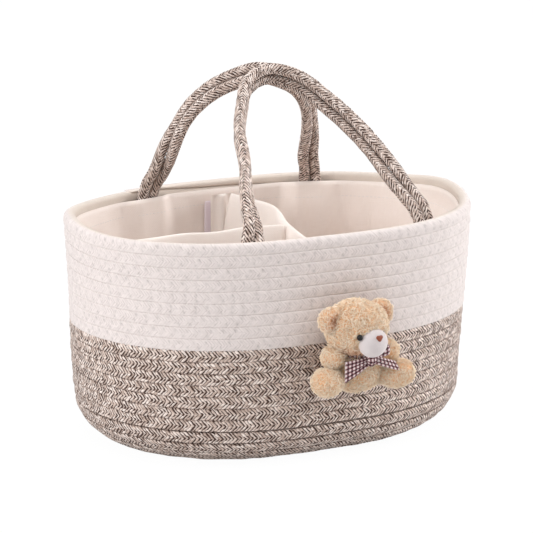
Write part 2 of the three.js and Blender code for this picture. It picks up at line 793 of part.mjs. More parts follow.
const endFrame = new THREE.Group();
endFrame.position.copy(endFoot).setY(stemRootSide);
endFrame.rotation.y = Math.atan(endSlope);
caddy.add(endFrame);
const endPieces = new THREE.Group();
endPieces.rotation.z = -Math.PI / 2;
endFrame.add(endPieces);
const endRise = tabBottomHeight - endFoot.z;
const endTab = addPiece(endPieces, 'divider_stem_tab',
  uprightStrip(tabWidth, tabThickness, stemTopHeight - tabBottomHeight, tabCorner), 'canvas');
endTab.position.set(0, tapeStack, endRise);
const endHook = addPiece(endPieces, 'end_hook_tape',
  uprightStrip(tapeWidth, tapeThickness, tapeHeight, tapeThickness), 'tape');
endHook.position.set(0, 2 * seatGap + tapeThickness, endRise + tapeInset);
const endLoop = addPiece(endPieces, 'end_loop_tape',
  uprightStrip(tapeWidth, tapeThickness, tapeHeight, tapeThickness), 'tape');
endLoop.position.set(0, seatGap, endRise + tapeInset);

// Bear, in its own frame: the origin is on the wall's outer face, below it, and -y points away from the wall
const bear = new THREE.Group();
const bearSeat = facetPoint(footLevel, -sideAngle, ropeRadius);
bear.position.set(bearOffset, bearSeat.y - Math.tan(sideLean) * bearSeat.z, 0);
bear.rotation.x = -sideLean;
caddy.add(bear);

function ball(radii, centre, grow = 0, columns = 12, rows = 8) {
  const geometry = new THREE.SphereGeometry(1, columns, rows);
  geometry.rotateX(Math.PI / 2);
  geometry.scale(...radii.map((radius) => radius + grow));
  geometry.translate(...centre);
  return geometry;
}

// A stuffed limb: a revolved outline that swells from its root to a round end
function limb(from, to, radii, grow) {
  const start = new THREE.Vector3(from[0], -from[1], from[2]);
  const end = new THREE.Vector3(to[0], -to[1], to[2]);
  const direction = end.clone().sub(start);
  const length = direction.length() + grow;
  const [rootRadius, endRadius] = radii.map((radius) => radius + grow);
  const outline = limbShares.map(([root, end, along]) => (
    new THREE.Vector2(root * rootRadius + end * endRadius, (length + grow) * along - grow)));
  outline.unshift(new THREE.Vector2(0, -grow));
  outline.push(new THREE.Vector2(0, length));
  const geometry = new THREE.LatheGeometry(outline, limbSides);
  const turn = new THREE.Quaternion().setFromUnitVectors(new THREE.Vector3(0, 1, 0), direction.normalize());
  geometry.applyQuaternion(turn);
  geometry.translate(start.x, start.y, start.z);
  return geometry;
}

const mirrorX = (place) => [-place[0], place[1], place[2]];
const headCentre = [bearHeadShift, -bearHeadDepth, bearHeadHeight];
const headTurn = bearHeadTurn * degree;

// A place on the head, given from its middle before the head is turned
function onHead(across, out, up) {
  const spot = new THREE.Vector3(across, -out, up).applyAxisAngle(new THREE.Vector3(0, 0, 1), headTurn);
  return [headCentre[0] + spot.x, headCentre[1] + spot.y, headCentre[2] + spot.z];
}

const earSpot = (side) => onHead(side * earSpread, 0, earRise);
const muzzleSpot = onHead(muzzleShift, muzzleReach, -muzzleDrop);
const noseRise = muzzleRadii[2] / 3;
const noseOut = muzzleRadii[1] * Math.sqrt(1 - (noseRise / muzzleRadii[2]) ** 2);
const noseSpot = onHead(muzzleShift, muzzleReach + noseOut, noseRise - muzzleDrop);
const eyeShares = [eyeSpread / bearHeadRadii[0], eyeDrop / bearHeadRadii[2]];
const eyeOut = bearHeadRadii[1] * Math.sqrt(1 - eyeShares[0] ** 2 - eyeShares[1] ** 2);
const eyeSpot = (side) => onHead(side * eyeSpread, eyeOut, -eyeDrop);
const knotSpot = [
  collarMiddle[0] + 2 * ribbonThickness,
  -(collarMiddle[1] + collarRadii[1]),
  collarMiddle[2] - collarRadii[1] * Math.sin(collarTilt * degree) - knotDrop,
];

function collar(grow) {
  const sections = [];
  const half = ribbonHeight / 2 + grow;
  const inner = -ribbonThickness - grow;
  const corners = [[grow, -half], [grow, half], [inner, half], [inner, -half]];
  for (let step = 0; step < collarSteps; step += 1) {
    const angle = (step + 0.5) / collarSteps * 2 * Math.PI;
    sections.push(corners.map(([out, up]) => {
      const [x, y] = [(collarRadii[0] + out) * Math.cos(angle), (collarRadii[1] + out) * Math.sin(angle)];
      return new THREE.Vector3(x, y, up)
        .applyAxisAngle(new THREE.Vector3(1, 0, 0), collarTilt * degree)
        .applyAxisAngle(new THREE.Vector3(0, 1, 0), -collarRoll * degree)
        .add(new THREE.Vector3(collarMiddle[0], -collarMiddle[1], collarMiddle[2]));
    }));
  }
  return loopLoft(sections);
}

function bowTail(side, ends, grow) {
  const [knotX, knotY, knotZ] = knotSpot;
  const rootX = knotX + side * (knotRadii[0] - bowRootHalf / 2);
  const endX = knotX + side * bowTailReach;
  const front = knotY - ribbonThickness / 2 - grow;
  const back = knotY + ribbonThickness / 2 + grow;
  const ring = (x, low, high, shift) => [
    new THREE.Vector3(x, front + shift, low - grow), new THREE.Vector3(x, front + shift, high + grow),
    new THREE.Vector3(x, back + shift, high + grow), new THREE.Vector3(x, back + shift, low - grow),
  ];
  const middleX = (rootX + endX) / 2;
  const middleLow = (knotZ - bowRootHalf + ends[1]) / 2;
  const middleHigh = (knotZ + bowRootHalf + ends[0]) / 2;
  return loft([
    ring(rootX, knotZ - bowRootHalf, knotZ + bowRootHalf, 0),
    ring(middleX, middleLow, middleHigh, -ribbonThickness),
    ring(endX + side * grow, ends[1], ends[0], 0),
  ]);
}

// Each bear piece by name, the larger before the smaller; each is cut by the pieces before it that it meets
const fullSide = { left: -1, right: 1 };
const bearPieces = [
  { name: 'bear_head', finish: 'plush', make: (grow) => ball(bearHeadRadii, headCentre, grow), cutBy: [] },
  {
    name: 'bear_body', finish: 'plush', cutBy: ['bear_head'],
    make: (grow) => ball(bearBodyRadii, [0, -bearBodyDepth, bearBodyHeight], grow),
  },
];
for (const [sideName, side] of Object.entries(fullSide)) {
  const mirrored = (place) => (side < 0 ? mirrorX(place) : place);
  bearPieces.push({
    name: `bear_${sideName}_arm`, finish: 'plush', cutBy: ['bear_head', 'bear_body'],
    make: (grow) => limb(mirrored(armShoulder), mirrored(armHand), armRadii, grow),
  }, {
    name: `bear_${sideName}_leg`, finish: 'plush', cutBy: ['bear_body', `bear_${sideName}_arm`],
    make: (grow) => limb(mirrored(legHip), mirrored(legToe), legRadii, grow),
  }, {
    name: `bear_${sideName}_ear`, finish: 'plush', cutBy: ['bear_head'],
    make: (grow) => ball([earRadius, earThickness, earRadius], earSpot(side), grow, 10, 6),
  });
}
bearPieces.push({
  name: 'bear_muzzle', finish: 'muzzleCloth', cutBy: ['bear_head', 'bear_body'],
  make: (grow) => ball(muzzleRadii, muzzleSpot, grow, 10, 6),
}, {
  name: 'bear_nose', finish: 'nose', cutBy: ['bear_muzzle'],
  make: (grow) => ball([noseRadius, noseRadius, noseRadius], noseSpot, grow, 6, 4),
});
for (const [sideName, side] of Object.entries(fullSide)) {
  bearPieces.push({
    name: `bear_${sideName}_eye`, finish: 'eye', cutBy: ['bear_head', 'bear_muzzle'],
    make: (grow) => ball([eyeRadius, eyeRadius, eyeRadius], eyeSpot(side), grow, 6, 4),
  });
}
bearPieces.push({
  name: 'bear_neck_ribbon', finish: 'ribbon', make: collar,
  cutBy: ['bear_head', 'bear_body', 'bear_left_arm', 'bear_right_arm', 'bear_muzzle'],
}, {
  name: 'bear_bow_knot', finish: 'ribbon', make: (grow) => ball(knotRadii, knotSpot, grow, 8, 5),
  cutBy: ['bear_head', 'bear_body', 'bear_muzzle', 'bear_neck_ribbon'],
});
for (const [sideName, side] of Object.entries(fullSide)) {
  const ends = side < 0 ? leftTailEnds : rightTailEnds;
  bearPieces.push({
    name: `bear_bow_${sideName}_tail`, finish: 'ribbon', make: (grow) => bowTail(side, ends, grow),
    cutBy: ['bear_head', 'bear_body', 'bear_muzzle', 'bear_neck_ribbon', 'bear_bow_knot',
      `bear_${sideName}_arm`, `bear_${sideName}_leg`],
  });
}

// Everything behind the plane of the wall is cut away
const behindWall = new THREE.BoxGeometry(rimHalfLength, rimHalfWidth, basketHeight * 2);
behindWall.translate(0, rimHalfWidth / 2 - seatGap, 0);
const wallBlock = solidFrom(behindWall);

for (const piece of bearPieces) {
  let solid = solidFrom(piece.make(0)).subtract(wallBlock);
  for (const name of piece.cutBy) {
    const cutter = bearPieces.find((other) => other.name === name);
    solid = solid.subtract(solidFrom(cutter.make(seatGap)));
  }
  // A cut can leave a crumb beside the piece itself
  const bodies = solid.decompose().sort((first, second) => second.volume() - first.volume());
  addPiece(bear, piece.name, geometryFrom(bodies[0]), piece.finish);
}

export default caddy;
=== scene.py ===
"""Looks of the diaper caddy: a basket of coiled cotton rope with two rope handles, a canvas liner, a padded
divider and a small plush bear. The sizes in the classes are millimetres, and the meshes are metres."""

import json
import logging
import math
from dataclasses import dataclass
from enum import Enum
from functools import cache
from typing import Any, Callable, Iterable, Optional, Sequence

import bmesh
import bpy
import numpy as np
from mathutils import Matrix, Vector


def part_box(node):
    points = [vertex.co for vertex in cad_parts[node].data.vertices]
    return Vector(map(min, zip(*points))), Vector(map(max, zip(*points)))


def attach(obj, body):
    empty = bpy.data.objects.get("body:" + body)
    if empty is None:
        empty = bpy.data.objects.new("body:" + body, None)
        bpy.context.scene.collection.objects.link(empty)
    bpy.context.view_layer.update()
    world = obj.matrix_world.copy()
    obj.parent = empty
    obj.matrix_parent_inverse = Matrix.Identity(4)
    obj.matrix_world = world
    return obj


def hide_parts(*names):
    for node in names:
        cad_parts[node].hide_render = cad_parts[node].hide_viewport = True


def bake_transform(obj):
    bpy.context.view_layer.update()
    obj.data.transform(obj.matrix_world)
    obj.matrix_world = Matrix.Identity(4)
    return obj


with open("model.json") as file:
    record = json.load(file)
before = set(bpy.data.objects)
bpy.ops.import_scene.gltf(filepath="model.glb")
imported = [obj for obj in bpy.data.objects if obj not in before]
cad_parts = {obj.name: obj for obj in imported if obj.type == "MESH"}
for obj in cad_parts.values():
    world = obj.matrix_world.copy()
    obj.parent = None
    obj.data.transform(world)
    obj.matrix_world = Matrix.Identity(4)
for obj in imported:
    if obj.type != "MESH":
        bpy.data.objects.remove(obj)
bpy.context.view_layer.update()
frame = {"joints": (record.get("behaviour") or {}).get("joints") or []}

log = logging.getLogger("caddy")
MILLIMETRE = 0.001
FULL_TURN = 2 * math.pi
TINY = 1e-9
HEM_COLUMNS = 5
Pair = tuple[float, float]
Triple = tuple[float, float, float]
Colour = tuple[float, float, float, float]
Array = np.ndarray
Shape = Callable[[Array], Array]
Piece = bpy.types.Object
Material = bpy.types.Material
Socket = bpy.types.NodeSocket


class Body(Enum):
    """The bodies that the pieces move with."""

    BASKET = "basket"
    FRONT_HANDLE = "front_handle"
    REAR_HANDLE = "rear_handle"
    DIVIDER = "divider"


class Side(Enum):
    """The two sides of the bear, as a sign along X."""

    LEFT = -1
    RIGHT = 1


def colour(red: float, green: float, blue: float) -> Colour:
    """Give the shader's value of a colour that is written from 0 to 255.

    Args:
        red: red of the colour.
        green: green of the colour.
        blue: blue of the colour.

    Returns:
        The linear colour with full cover.
    """
    def linear(value: float) -> float:
        """Give one channel without its display curve."""
        share = value / 255
        return share / 12.92 if share <= 0.04045 else ((share + 0.055) / 1.055) ** 2.4

    return linear(red), linear(green), linear(blue), 1.0


# Small tools for meshes

def smooth_step(values: Array, low: float, high: float) -> Array:
    """Rise smoothly from 0 at low to 1 at high."""
    share = np.clip((np.asarray(values, float) - low) / (high - low), 0, 1)
    return share * share * (3 - 2 * share)


def unit(vectors: Array) -> Array:
    """Give vectors the length 1."""
    vectors = np.asarray(vectors, float)
    return vectors / np.maximum(np.linalg.norm(vectors, axis=-1, keepdims=True), TINY)


def bell(values: Any, middle: float, width: float) -> Any:
    """Rise to 1 at the middle and fall away beyond a width on either side."""
    return np.exp(-((values - middle) / width) ** 2)


def eased(values: Array, power: Any) -> Array:
    """Raise values to a power and keep their signs."""
    return np.sign(values) * np.abs(values) ** power


def lobe(cosine: Array, power: float) -> Array:
    """Rise to 1 in one direction and fall to 0 a quarter turn from it, given the angle's cosine."""
    return np.clip(cosine, 0, 1) ** power


def run_length(points: Array) -> Array:
    """Give the length from the first point of a line to each of its points."""
    steps = np.linalg.norm(np.diff(points, axis=0), axis=1)
    return np.concatenate([[0.0], np.cumsum(steps)])


def round_length(points: Array) -> Array:
    """Give the length to each point of a line that closes, and at last back to its first point."""
    return run_length(np.vstack([points, points[:1]]))


def spline(points: Sequence[Sequence[float]], density: int = 60) -> Array:
    """Draw a smooth curve through points, as a centripetal Catmull-Rom curve.

    Args:
        points: the points it passes through.
        density: steps between two of them.

    Returns:
        The points of the curve.
    """
    knots = np.asarray(points, float)
    knots = np.vstack([2 * knots[0] - knots[1], knots, 2 * knots[-1] - knots[-2]])
    drawn = []
    for first in range(len(knots) - 3):
        before, start, end, after = knots[first:first + 4]
        steps = ((before, start), (start, end), (end, after))
        gaps = [math.sqrt(max(np.linalg.norm(b - a), TINY)) for a, b in steps]
        leave = (start - before) / gaps[0] - (end - before) / (gaps[0] + gaps[1]) + (end - start) / gaps[1]
        reach = (end - start) / gaps[1] - (after - start) / (gaps[1] + gaps[2]) + (after - end) / gaps[2]
        leave, reach = leave * gaps[1], reach * gaps[1]
        share = np.linspace(0, 1, density, endpoint=False)[:, None]
        drawn.append(start + leave * share + (3 * (end - start) - 2 * leave - reach) * share ** 2
                     + (2 * (start - end) + leave + reach) * share ** 3)
    return np.vstack(drawn + [knots[-2:-1]])


def evenly(points: Array, count: int) -> Array:
    """Place points at even distances along a line."""
    length = run_length(points)
    return along_values(np.linspace(0, length[-1], count), length, points)


def along_values(places: Array, length: Array, vectors: Array) -> Array:
    """Give the vectors at places between the lengths at which they are known."""
    columns = [np.interp(places, length, vectors[:, axis]) for axis in range(vectors.shape[1])]
    return np.stack(columns, axis=1)


class Ripple:
    """A smooth random field in space that is the same on every run."""

    def __init__(self, wavelength: float, seed: int, waves: int = 12) -> None:
        """Draw the waves.

        Args:
            wavelength: usual distance between crests.
            seed: start of the random draw.
            waves: how many waves are added up.
        """
        draw = np.random.default_rng(seed)
        lengths = wavelength * draw.uniform(0.7, 1.6, waves)
        self.turns = unit(draw.normal(size=(waves, 3))) * (FULL_TURN / lengths)[:, None]
        self.phases = draw.uniform(0, FULL_TURN, waves)

    def at(self, points: Array) -> Array:
        """Give the field at points, mostly between -1 and 1."""
        return np.cos(points @ self.turns.T + self.phases).sum(axis=-1) / math.sqrt(len(self.phases))

    def share_at(self, points: Array) -> Array:
        """Give the field at points as a share from 0 to 1."""
        return 0.5 + 0.5 * np.clip(self.at(points), -1, 1)


def put_in_scene(thing: Piece) -> Piece:
    """Link an object to the scene."""
    bpy.context.scene.collection.objects.link(thing)
    return thing


def new_piece(name: str, points: Array, faces: Iterable[Sequence[int]],
              material: Optional[Material] = None) -> Piece:
    """Make a smooth mesh piece in the scene.

    Args:
        name: name of the piece.
        points: its points in millimetres.
        faces: its faces, as rows of point numbers.
        material: its finish.

    Returns:
        The piece.
    """
    mesh = bpy.data.meshes.new(name)
    mesh.from_pydata((np.asarray(points) * MILLIMETRE).tolist(), [], [list(face) for face in faces])
    if len(mesh.polygons):
        mesh.shade_smooth()
    if material:
        mesh.materials.append(material)
    return put_in_scene(bpy.data.objects.new(name, mesh))


def skin(name: str, rings: Array, along: Array, around: Array, material: Material,
         closed: bool = False) -> Piece:
    """Skin rows of points as one closed piece, with a map of its surface in metres.

    Args:
        name: name of the piece.
        rings: rows by columns by 3, in millimetres; the columns run round the section.
        along: place of each row along the piece, with one more value where the piece is closed.
        around: place of each column round the section, with one more value than columns.
        material: its finish.
        closed: whether the last row joins the first.

    Returns:
        The piece.
    """
    rows, columns = rings.shape[:2]
    row, column = np.meshgrid(np.arange(rows if closed else rows - 1), np.arange(columns), indexing="ij")
    row, column = row.ravel(), column.ravel()
    after, beside = (row + 1) % rows, (column + 1) % columns
    quads = np.stack([row * columns + column, row * columns + beside,
                      after * columns + beside, after * columns + column], axis=1)
    corners = ((row, column), (row, column + 1), (row + 1, column + 1), (row + 1, column))
    places = np.stack([np.stack([along[down], around[over]], axis=1) for down, over in corners], axis=1)
    points = rings.reshape(-1, 3)
    a, b, c, d = (points[quads[:, corner]] for corner in range(4))
    volume = np.einsum("ij,ij->", a, np.cross(b, c)) + np.einsum("ij,ij->", a, np.cross(c, d))
    caps = [] if closed else [list(range(columns))[::-1], list(range((rows - 1) * columns, rows * columns))]
    if volume < 0:
        quads, places = quads[:, ::-1], places[:, ::-1]
        caps = [cap[::-1] for cap in caps]
    piece = new_piece(name, points, quads.tolist() + caps, material)
    layer = piece.data.uv_layers.new(name="surface")
    flat = places.reshape(-1, 2)
    flat = np.vstack([flat, np.zeros((sum(len(cap) for cap in caps), 2))])
    layer.data.foreach_set("uv", (flat * MILLIMETRE).astype(np.float32).ravel())
    return piece


def cloth(name: str, grid: Array, along: Array, around: Array, thickness: float,
          material: Material, closed: bool = False, hem: float = 0.0) -> Piece:
    """Make a thin closed sheet from a grid of its middle surface.

    Args:
        name: name of the piece.
        grid: rows by columns by 3, in millimetres.
        along: place of each row in millimetres, with one more value where the sheet is closed.
        around: place of each column in millimetres.
        thickness: of the cloth.
        material: its finish.
        closed: whether the last row joins the first.
        hem: more thickness at the last columns, where the edge is folded.

    Returns:
        The piece.
    """
    if closed:
        down = np.roll(grid, -1, axis=0) - np.roll(grid, 1, axis=0)
    else:
        down = np.gradient(grid, axis=0)
    normal = unit(np.cross(down, np.gradient(grid, axis=1)))
    columns = grid.shape[1]
    half = np.full(columns, thickness / 2)
    half[-HEM_COLUMNS:] += hem / 2
    half[-1] = half[0] = thickness / 4
    shift = normal * half[:, None]
    rings = np.concatenate([grid + shift, (grid - shift)[:, ::-1]], axis=1)
    edges = np.concatenate([around, around[::-1], around[:1]])
    return skin(name, rings, along, edges, material, closed)


def stuffed(name: str, shape: Shape, material: Material, detail: int = 5) -> Piece:
    """Make a stuffed piece by giving each direction of a ball its place.

    Args:
        name: name of the piece.
        shape: takes directions and gives points in millimetres.
        material: its finish.
        detail: how often the ball's faces are divided.

    Returns:
        The piece.
    """
    ball = bmesh.new()
    bmesh.ops.create_icosphere(ball, subdivisions=detail, radius=1.0)
    directions = np.array([vertex.co[:] for vertex in ball.verts])
    faces = np.array([[vertex.index for vertex in face.verts] for face in ball.faces])
    ball.free()
    points = shape(unit(directions))
    a, b, c = (points[faces[:, corner]] for corner in range(3))
    if np.einsum("ij,ij->", a, np.cross(b, c)) < 0:
        faces = faces[:, ::-1]
    return new_piece(name, points, faces.tolist(), material)


def point_values(piece: Piece, name: str, values: Array) -> None:
    """Store a value, or a vector, for each point of a piece."""
    kind = "FLOAT" if values.ndim == 1 else "FLOAT_VECTOR"
    layer = piece.data.attributes.new(name, kind, "POINT")
    layer.data.foreach_set("value" if values.ndim == 1 else "vector", values.astype(np.float32).ravel())


def baked(piece: Piece) -> Piece:
    """Turn what a piece's modifiers make into its plain mesh."""
    bpy.context.view_layer.update()
    graph = bpy.context.evaluated_depsgraph_get()
    mesh = bpy.data.meshes.new_from_object(piece.evaluated_get(graph))
    piece.modifiers.clear()
    piece.data = mesh
    return piece


def settle(piece: Piece, body: Body, slot: str, *nodes: str) -> None:
    """Let a piece ride on a body and put it in the place of plain solids.

    Args:
        piece: the piece.
        body: what it moves with.
        slot: not used.
        nodes: the solids that it stands for.
    """
    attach(piece, body.value)
    if nodes:
        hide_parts(*nodes)
    log.info("%s: %d faces on %s", piece.name, len(piece.data.polygons), body.value)


# Finishes

class NodeWork:
    """A node tree with short calls that add nodes and join them."""

    def __init__(self, tree: bpy.types.NodeTree) -> None:
        """Start with an empty tree."""
        self.tree = tree
        tree.nodes.clear()

    def feed(self, socket: Socket, value: Any) -> None:
        """Join a socket to another one, or set its value."""
        if isinstance(value, Socket):
            self.tree.links.new(value, socket)
        else:
            socket.default_value = value

    def node(self, kind: str, inputs: Optional[dict[Any, Any]] = None, **settings: Any) -> bpy.types.Node:
        """Add a node.

        Args:
            kind: the node's type.
            inputs: values or sockets by the input's name or number.
            settings: the node's own settings.

        Returns:
            The node.
        """
        node = self.tree.nodes.new(kind)
        for name, value in settings.items():
            setattr(node, name, value)
        for name, value in (inputs or {}).items():
            self.feed(node.inputs[name], value)
        return node

    def math(self, operation: str, *values: Any, clamp: bool = False) -> Socket:
        """Add a sum or other small step and give its result."""
        node = self.node("ShaderNodeMath", dict(enumerate(values)), operation=operation, use_clamp=clamp)
        return node.outputs[0]

    def times(self, first: Any, second: Any, clamp: bool = False) -> Socket:
        """Multiply two values."""
        return self.math("MULTIPLY", first, second, clamp=clamp)

    def scaled(self, value: Any, factor: Any, shift: Any, clamp: bool = False) -> Socket:
        """Multiply a value by a factor and add a shift."""
        return self.math("MULTIPLY_ADD", value, factor, shift, clamp=clamp)


class Shading(NodeWork):
    """The node tree of one material."""

    def __init__(self, name: str, roughness: float, sheen: float = 0.0, specular: float = 0.3) -> None:
        """Start a material.

        Args:
            name: its name.
            roughness: of the surface.
            sheen: of its fibres.
            specular: strength of its gloss.
        """
        self.material = bpy.data.materials.new(name)
        self.material.use_nodes = True
        super().__init__(self.material.node_tree)
        self.shader = self.node("ShaderNodeBsdfPrincipled")
        self.shader.inputs["Roughness"].default_value = roughness
        self.shader.inputs["Sheen Weight"].default_value = sheen
        self.shader.inputs["Specular IOR Level"].default_value = specular
        output = self.node("ShaderNodeOutputMaterial")
        self.tree.links.new(self.shader.outputs["BSDF"], output.inputs["Surface"])

    def surface_map(self) -> tuple[Socket, Socket, Socket]:
        """Give the piece's own map as a vector, the way along it and the way round it, in metres."""
        where = self.node("ShaderNodeUVMap", uv_map="surface")
        parts = self.node("ShaderNodeSeparateXYZ", {0: where.outputs[0]})
        return where.outputs[0], parts.outputs[0], parts.outputs[1]

    def place(self) -> Socket:
        """Give the place on the object, in metres."""
        return self.node("ShaderNodeTexCoord").outputs["Object"]

    def vector(self, *parts: Any) -> Socket:
        """Join three values to a vector."""
        return self.node("ShaderNodeCombineXYZ", dict(enumerate(parts))).outputs[0]

    def stored(self, name: str) -> Socket:
        """Give a value that the piece stores for each of its points."""
        return self.node("ShaderNodeAttribute", attribute_name=name).outputs["Fac"]

    def noise(self, where: Any, scale: float, detail: float = 2.0, rough: float = 0.5) -> Socket:
        """Give a noise from 0 to 1 at a place."""
        inputs = {"Vector": where, "Scale": scale, "Detail": detail, "Roughness": rough}
        return self.node("ShaderNodeTexNoise", inputs).outputs["Fac"]

    def random(self, *parts: Any) -> Socket:
        """Give a random value from 0 to 1 for each whole place."""
        inputs = {"Vector": self.vector(*parts)}
        return self.node("ShaderNodeTexWhiteNoise", inputs, noise_dimensions="3D").outputs["Value"]

    def ramp(self, share: Any, stops: Sequence[tuple[float, Colour]]) -> Socket:
        """Give the colour at a share between stops."""
        node = self.node("ShaderNodeValToRGB", {0: share})
        ramp = node.color_ramp
        while len(ramp.elements) < len(stops):
            ramp.elements.new(0.5)
        for element, (place, tint) in zip(ramp.elements, stops):
            element.position = place
            element.color = tint
        return node.outputs[0]

    def mix(self, share: Any, first: Any, second: Any, blend: str = "MIX") -> Socket:
        """Mix two colours."""
        node = self.node("ShaderNodeMix", data_type="RGBA", blend_type=blend)
        for socket, value in ((node.inputs[0], share), (node.inputs[6], first), (node.inputs[7], second)):
            self.feed(socket, value)
        return node.outputs[2]

    def finish(self, tint: Any, height: Any = None, depth: float = 0.0) -> Material:
        """Join the colour and the relief to the shader.

        Args:
            tint: the colour.
            height: the relief from 0 to 1.
            depth: how high a relief of 1 is, in millimetres.

        Returns:
            The material.
        """
        self.feed(self.shader.inputs["Base Color"], tint)
        if height is not None:
            inputs = {"Height": height, "Distance": depth * MILLIMETRE, "Strength": 1.0}
            self.feed(self.shader.inputs["Normal"], self.node("ShaderNodeBump", inputs).outputs[0])
        return self.material


@dataclass(frozen=True)
class BraidFinish:
    """Cotton rope braided from strands of a pale and a dark yarn, which meet in a row of arrowheads, with
    painted shade between the strands and in the stitch dimples, and a painted reflection of the cream liner
    where a piece marks its inner side.
    """

    name: str
    pale: tuple[tuple[float, Colour], ...]
    dark: Colour
    dark_share: Pair
    strand: float = 2.5
    lane: float = 7.75
    slant: float = 0.95
    breaks: float = 3.0
    # Painted shade: how much the colour darkens at the edges of each strand, where strands meet.
    valley_shade: float = 0.3
    relief: float = 0.35
    fuzz: float = 0.10
    wander_scale: float = 260.0
    wander: float = 0.5
    yarn_edge: float = 5.0
    fibre_scale: float = 2600.0
    fibre_stretch: float = 0.25
    roundness: float = 0.6
    dent_shade: float = 0.3
    # Painted reflection: the cream that the liner throws onto the inner side of the rim.
    inner: Colour = colour(230, 217, 204)
    liner_reflection_share: float = 0.8

    def material(self) -> Material:
        """Make the material."""
        shade = Shading(self.name, roughness=0.95, sheen=0.15, specular=0.15)
        where, along, around = shade.surface_map()
        lane = self.lane * MILLIMETRE
        across = shade.math("PINGPONG", around, lane)
        side = shade.math("FLOOR", shade.math("DIVIDE", around, lane))
        wander = shade.noise(where, self.wander_scale, 1.0)
        slanted = shade.scaled(across, self.slant, along)
        strands = shade.math("DIVIDE", slanted, self.strand * MILLIMETRE)
        count = shade.scaled(wander, self.wander, strands)
        number = shade.math("FLOOR", count)
        part = shade.math("FRACT", count)
        ridge = shade.math("SINE", shade.times(part, math.pi))
        start = shade.random(number, side, 1.0)
        length = shade.times(shade.math("DIVIDE", across, lane), self.breaks)
        piece = shade.math("FLOOR", shade.math("ADD", length, start))
        low, high = self.dark_share
        border = shade.scaled(shade.random(number, side, piece), high - low, low)
        beyond = shade.math("SUBTRACT", part, border)
        pale_share = shade.scaled(beyond, self.yarn_edge, 0.5, clamp=True)
        pale = shade.ramp(shade.random(number, piece, side), self.pale)
        tint = shade.mix(pale_share, self.dark, pale)
        grain = shade.vector(slanted, shade.times(across, self.fibre_stretch), 0.0)
        fibres = shade.noise(grain, self.fibre_scale, 3.0, 0.7)
        # Painted shade between the strands: darker towards each strand's edges.
        rounded = shade.math("POWER", ridge, self.roundness)
        shadow = shade.scaled(rounded, self.valley_shade, 1 - self.valley_shade)
        fuzz = shade.scaled(fibres, 2 * self.fuzz, 1 - self.fuzz)
        # Painted shade in the stitch dimples: darker where the thread pulls the rope in.
        dent_shade_factor = shade.scaled(shade.stored("dent"), -self.dent_shade, 1.0)
        # The painted shade between strands and in the stitch dimples, times the random fuzz of the fibres,
        # darkens the colour.
        shadow = shade.times(shade.times(shadow, fuzz), dent_shade_factor)
        grey = shade.node("ShaderNodeCombineColor", {0: shadow, 1: shadow, 2: shadow}).outputs[0]
        tint = shade.mix(1.0, tint, grey, "MULTIPLY")
        # Painted reflection of the cream liner, where the piece stores its inner side.
        tint = shade.mix(shade.times(shade.stored("inner"), self.liner_reflection_share), tint, self.inner)
        return shade.finish(tint, shade.scaled(fibres, 0.5, ridge), self.relief)


@dataclass(frozen=True)
class CanvasFinish:
    """Plain woven cotton canvas with slubs, and painted shade in the hollows of its weave."""

    name: str
    tint: Colour
    # Darker end of the canvas colour: darker slubs and patches of real tone, and painted shade in the
    # weave's hollows.
    slub_tone_and_weave_shade: Colour
    thread: float = 0.9
    relief: float = 0.12
    slub_scale: float = 90.0
    slub_stretch: float = 14.0
    slub_share: float = 0.45
    patch_scale: float = 22.0
    patch_share: float = 0.5
    weave_shade_share: float = 0.15

    def material(self) -> Material:
        """Make the material."""
        shade = Shading(self.name, roughness=0.92, sheen=0.1, specular=0.2)
        _, along, around = shade.surface_map()
        step = math.pi / (self.thread * MILLIMETRE)
        warp = shade.math("SINE", shade.times(along, step))
        weft = shade.math("SINE", shade.times(around, step))
        weave = shade.scaled(shade.times(warp, weft), 0.5, 0.5)
        warp_place = shade.vector(along, shade.times(around, self.slub_stretch), 0.0)
        weft_place = shade.vector(shade.times(along, self.slub_stretch), around, 0.3)
        slub_along = shade.noise(warp_place, self.slub_scale)
        slub_around = shade.noise(weft_place, self.slub_scale)
        patches = shade.noise(shade.place(), self.patch_scale, 3.0)
        share = shade.scaled(patches, self.patch_share, -self.patch_share / 2)
        slubs = shade.math("ADD", slub_along, slub_around)
        share = shade.scaled(slubs, self.slub_share, share)
        # Painted shade in the weave: darker where the weave's relief is low.
        share = shade.scaled(weave, self.weave_shade_share, share, clamp=True)
        tint = shade.ramp(share, [(0.1, self.slub_tone_and_weave_shade), (0.75, self.tint)])
        height = shade.scaled(slub_along, 0.8, weave)
        return shade.finish(tint, height, self.relief)


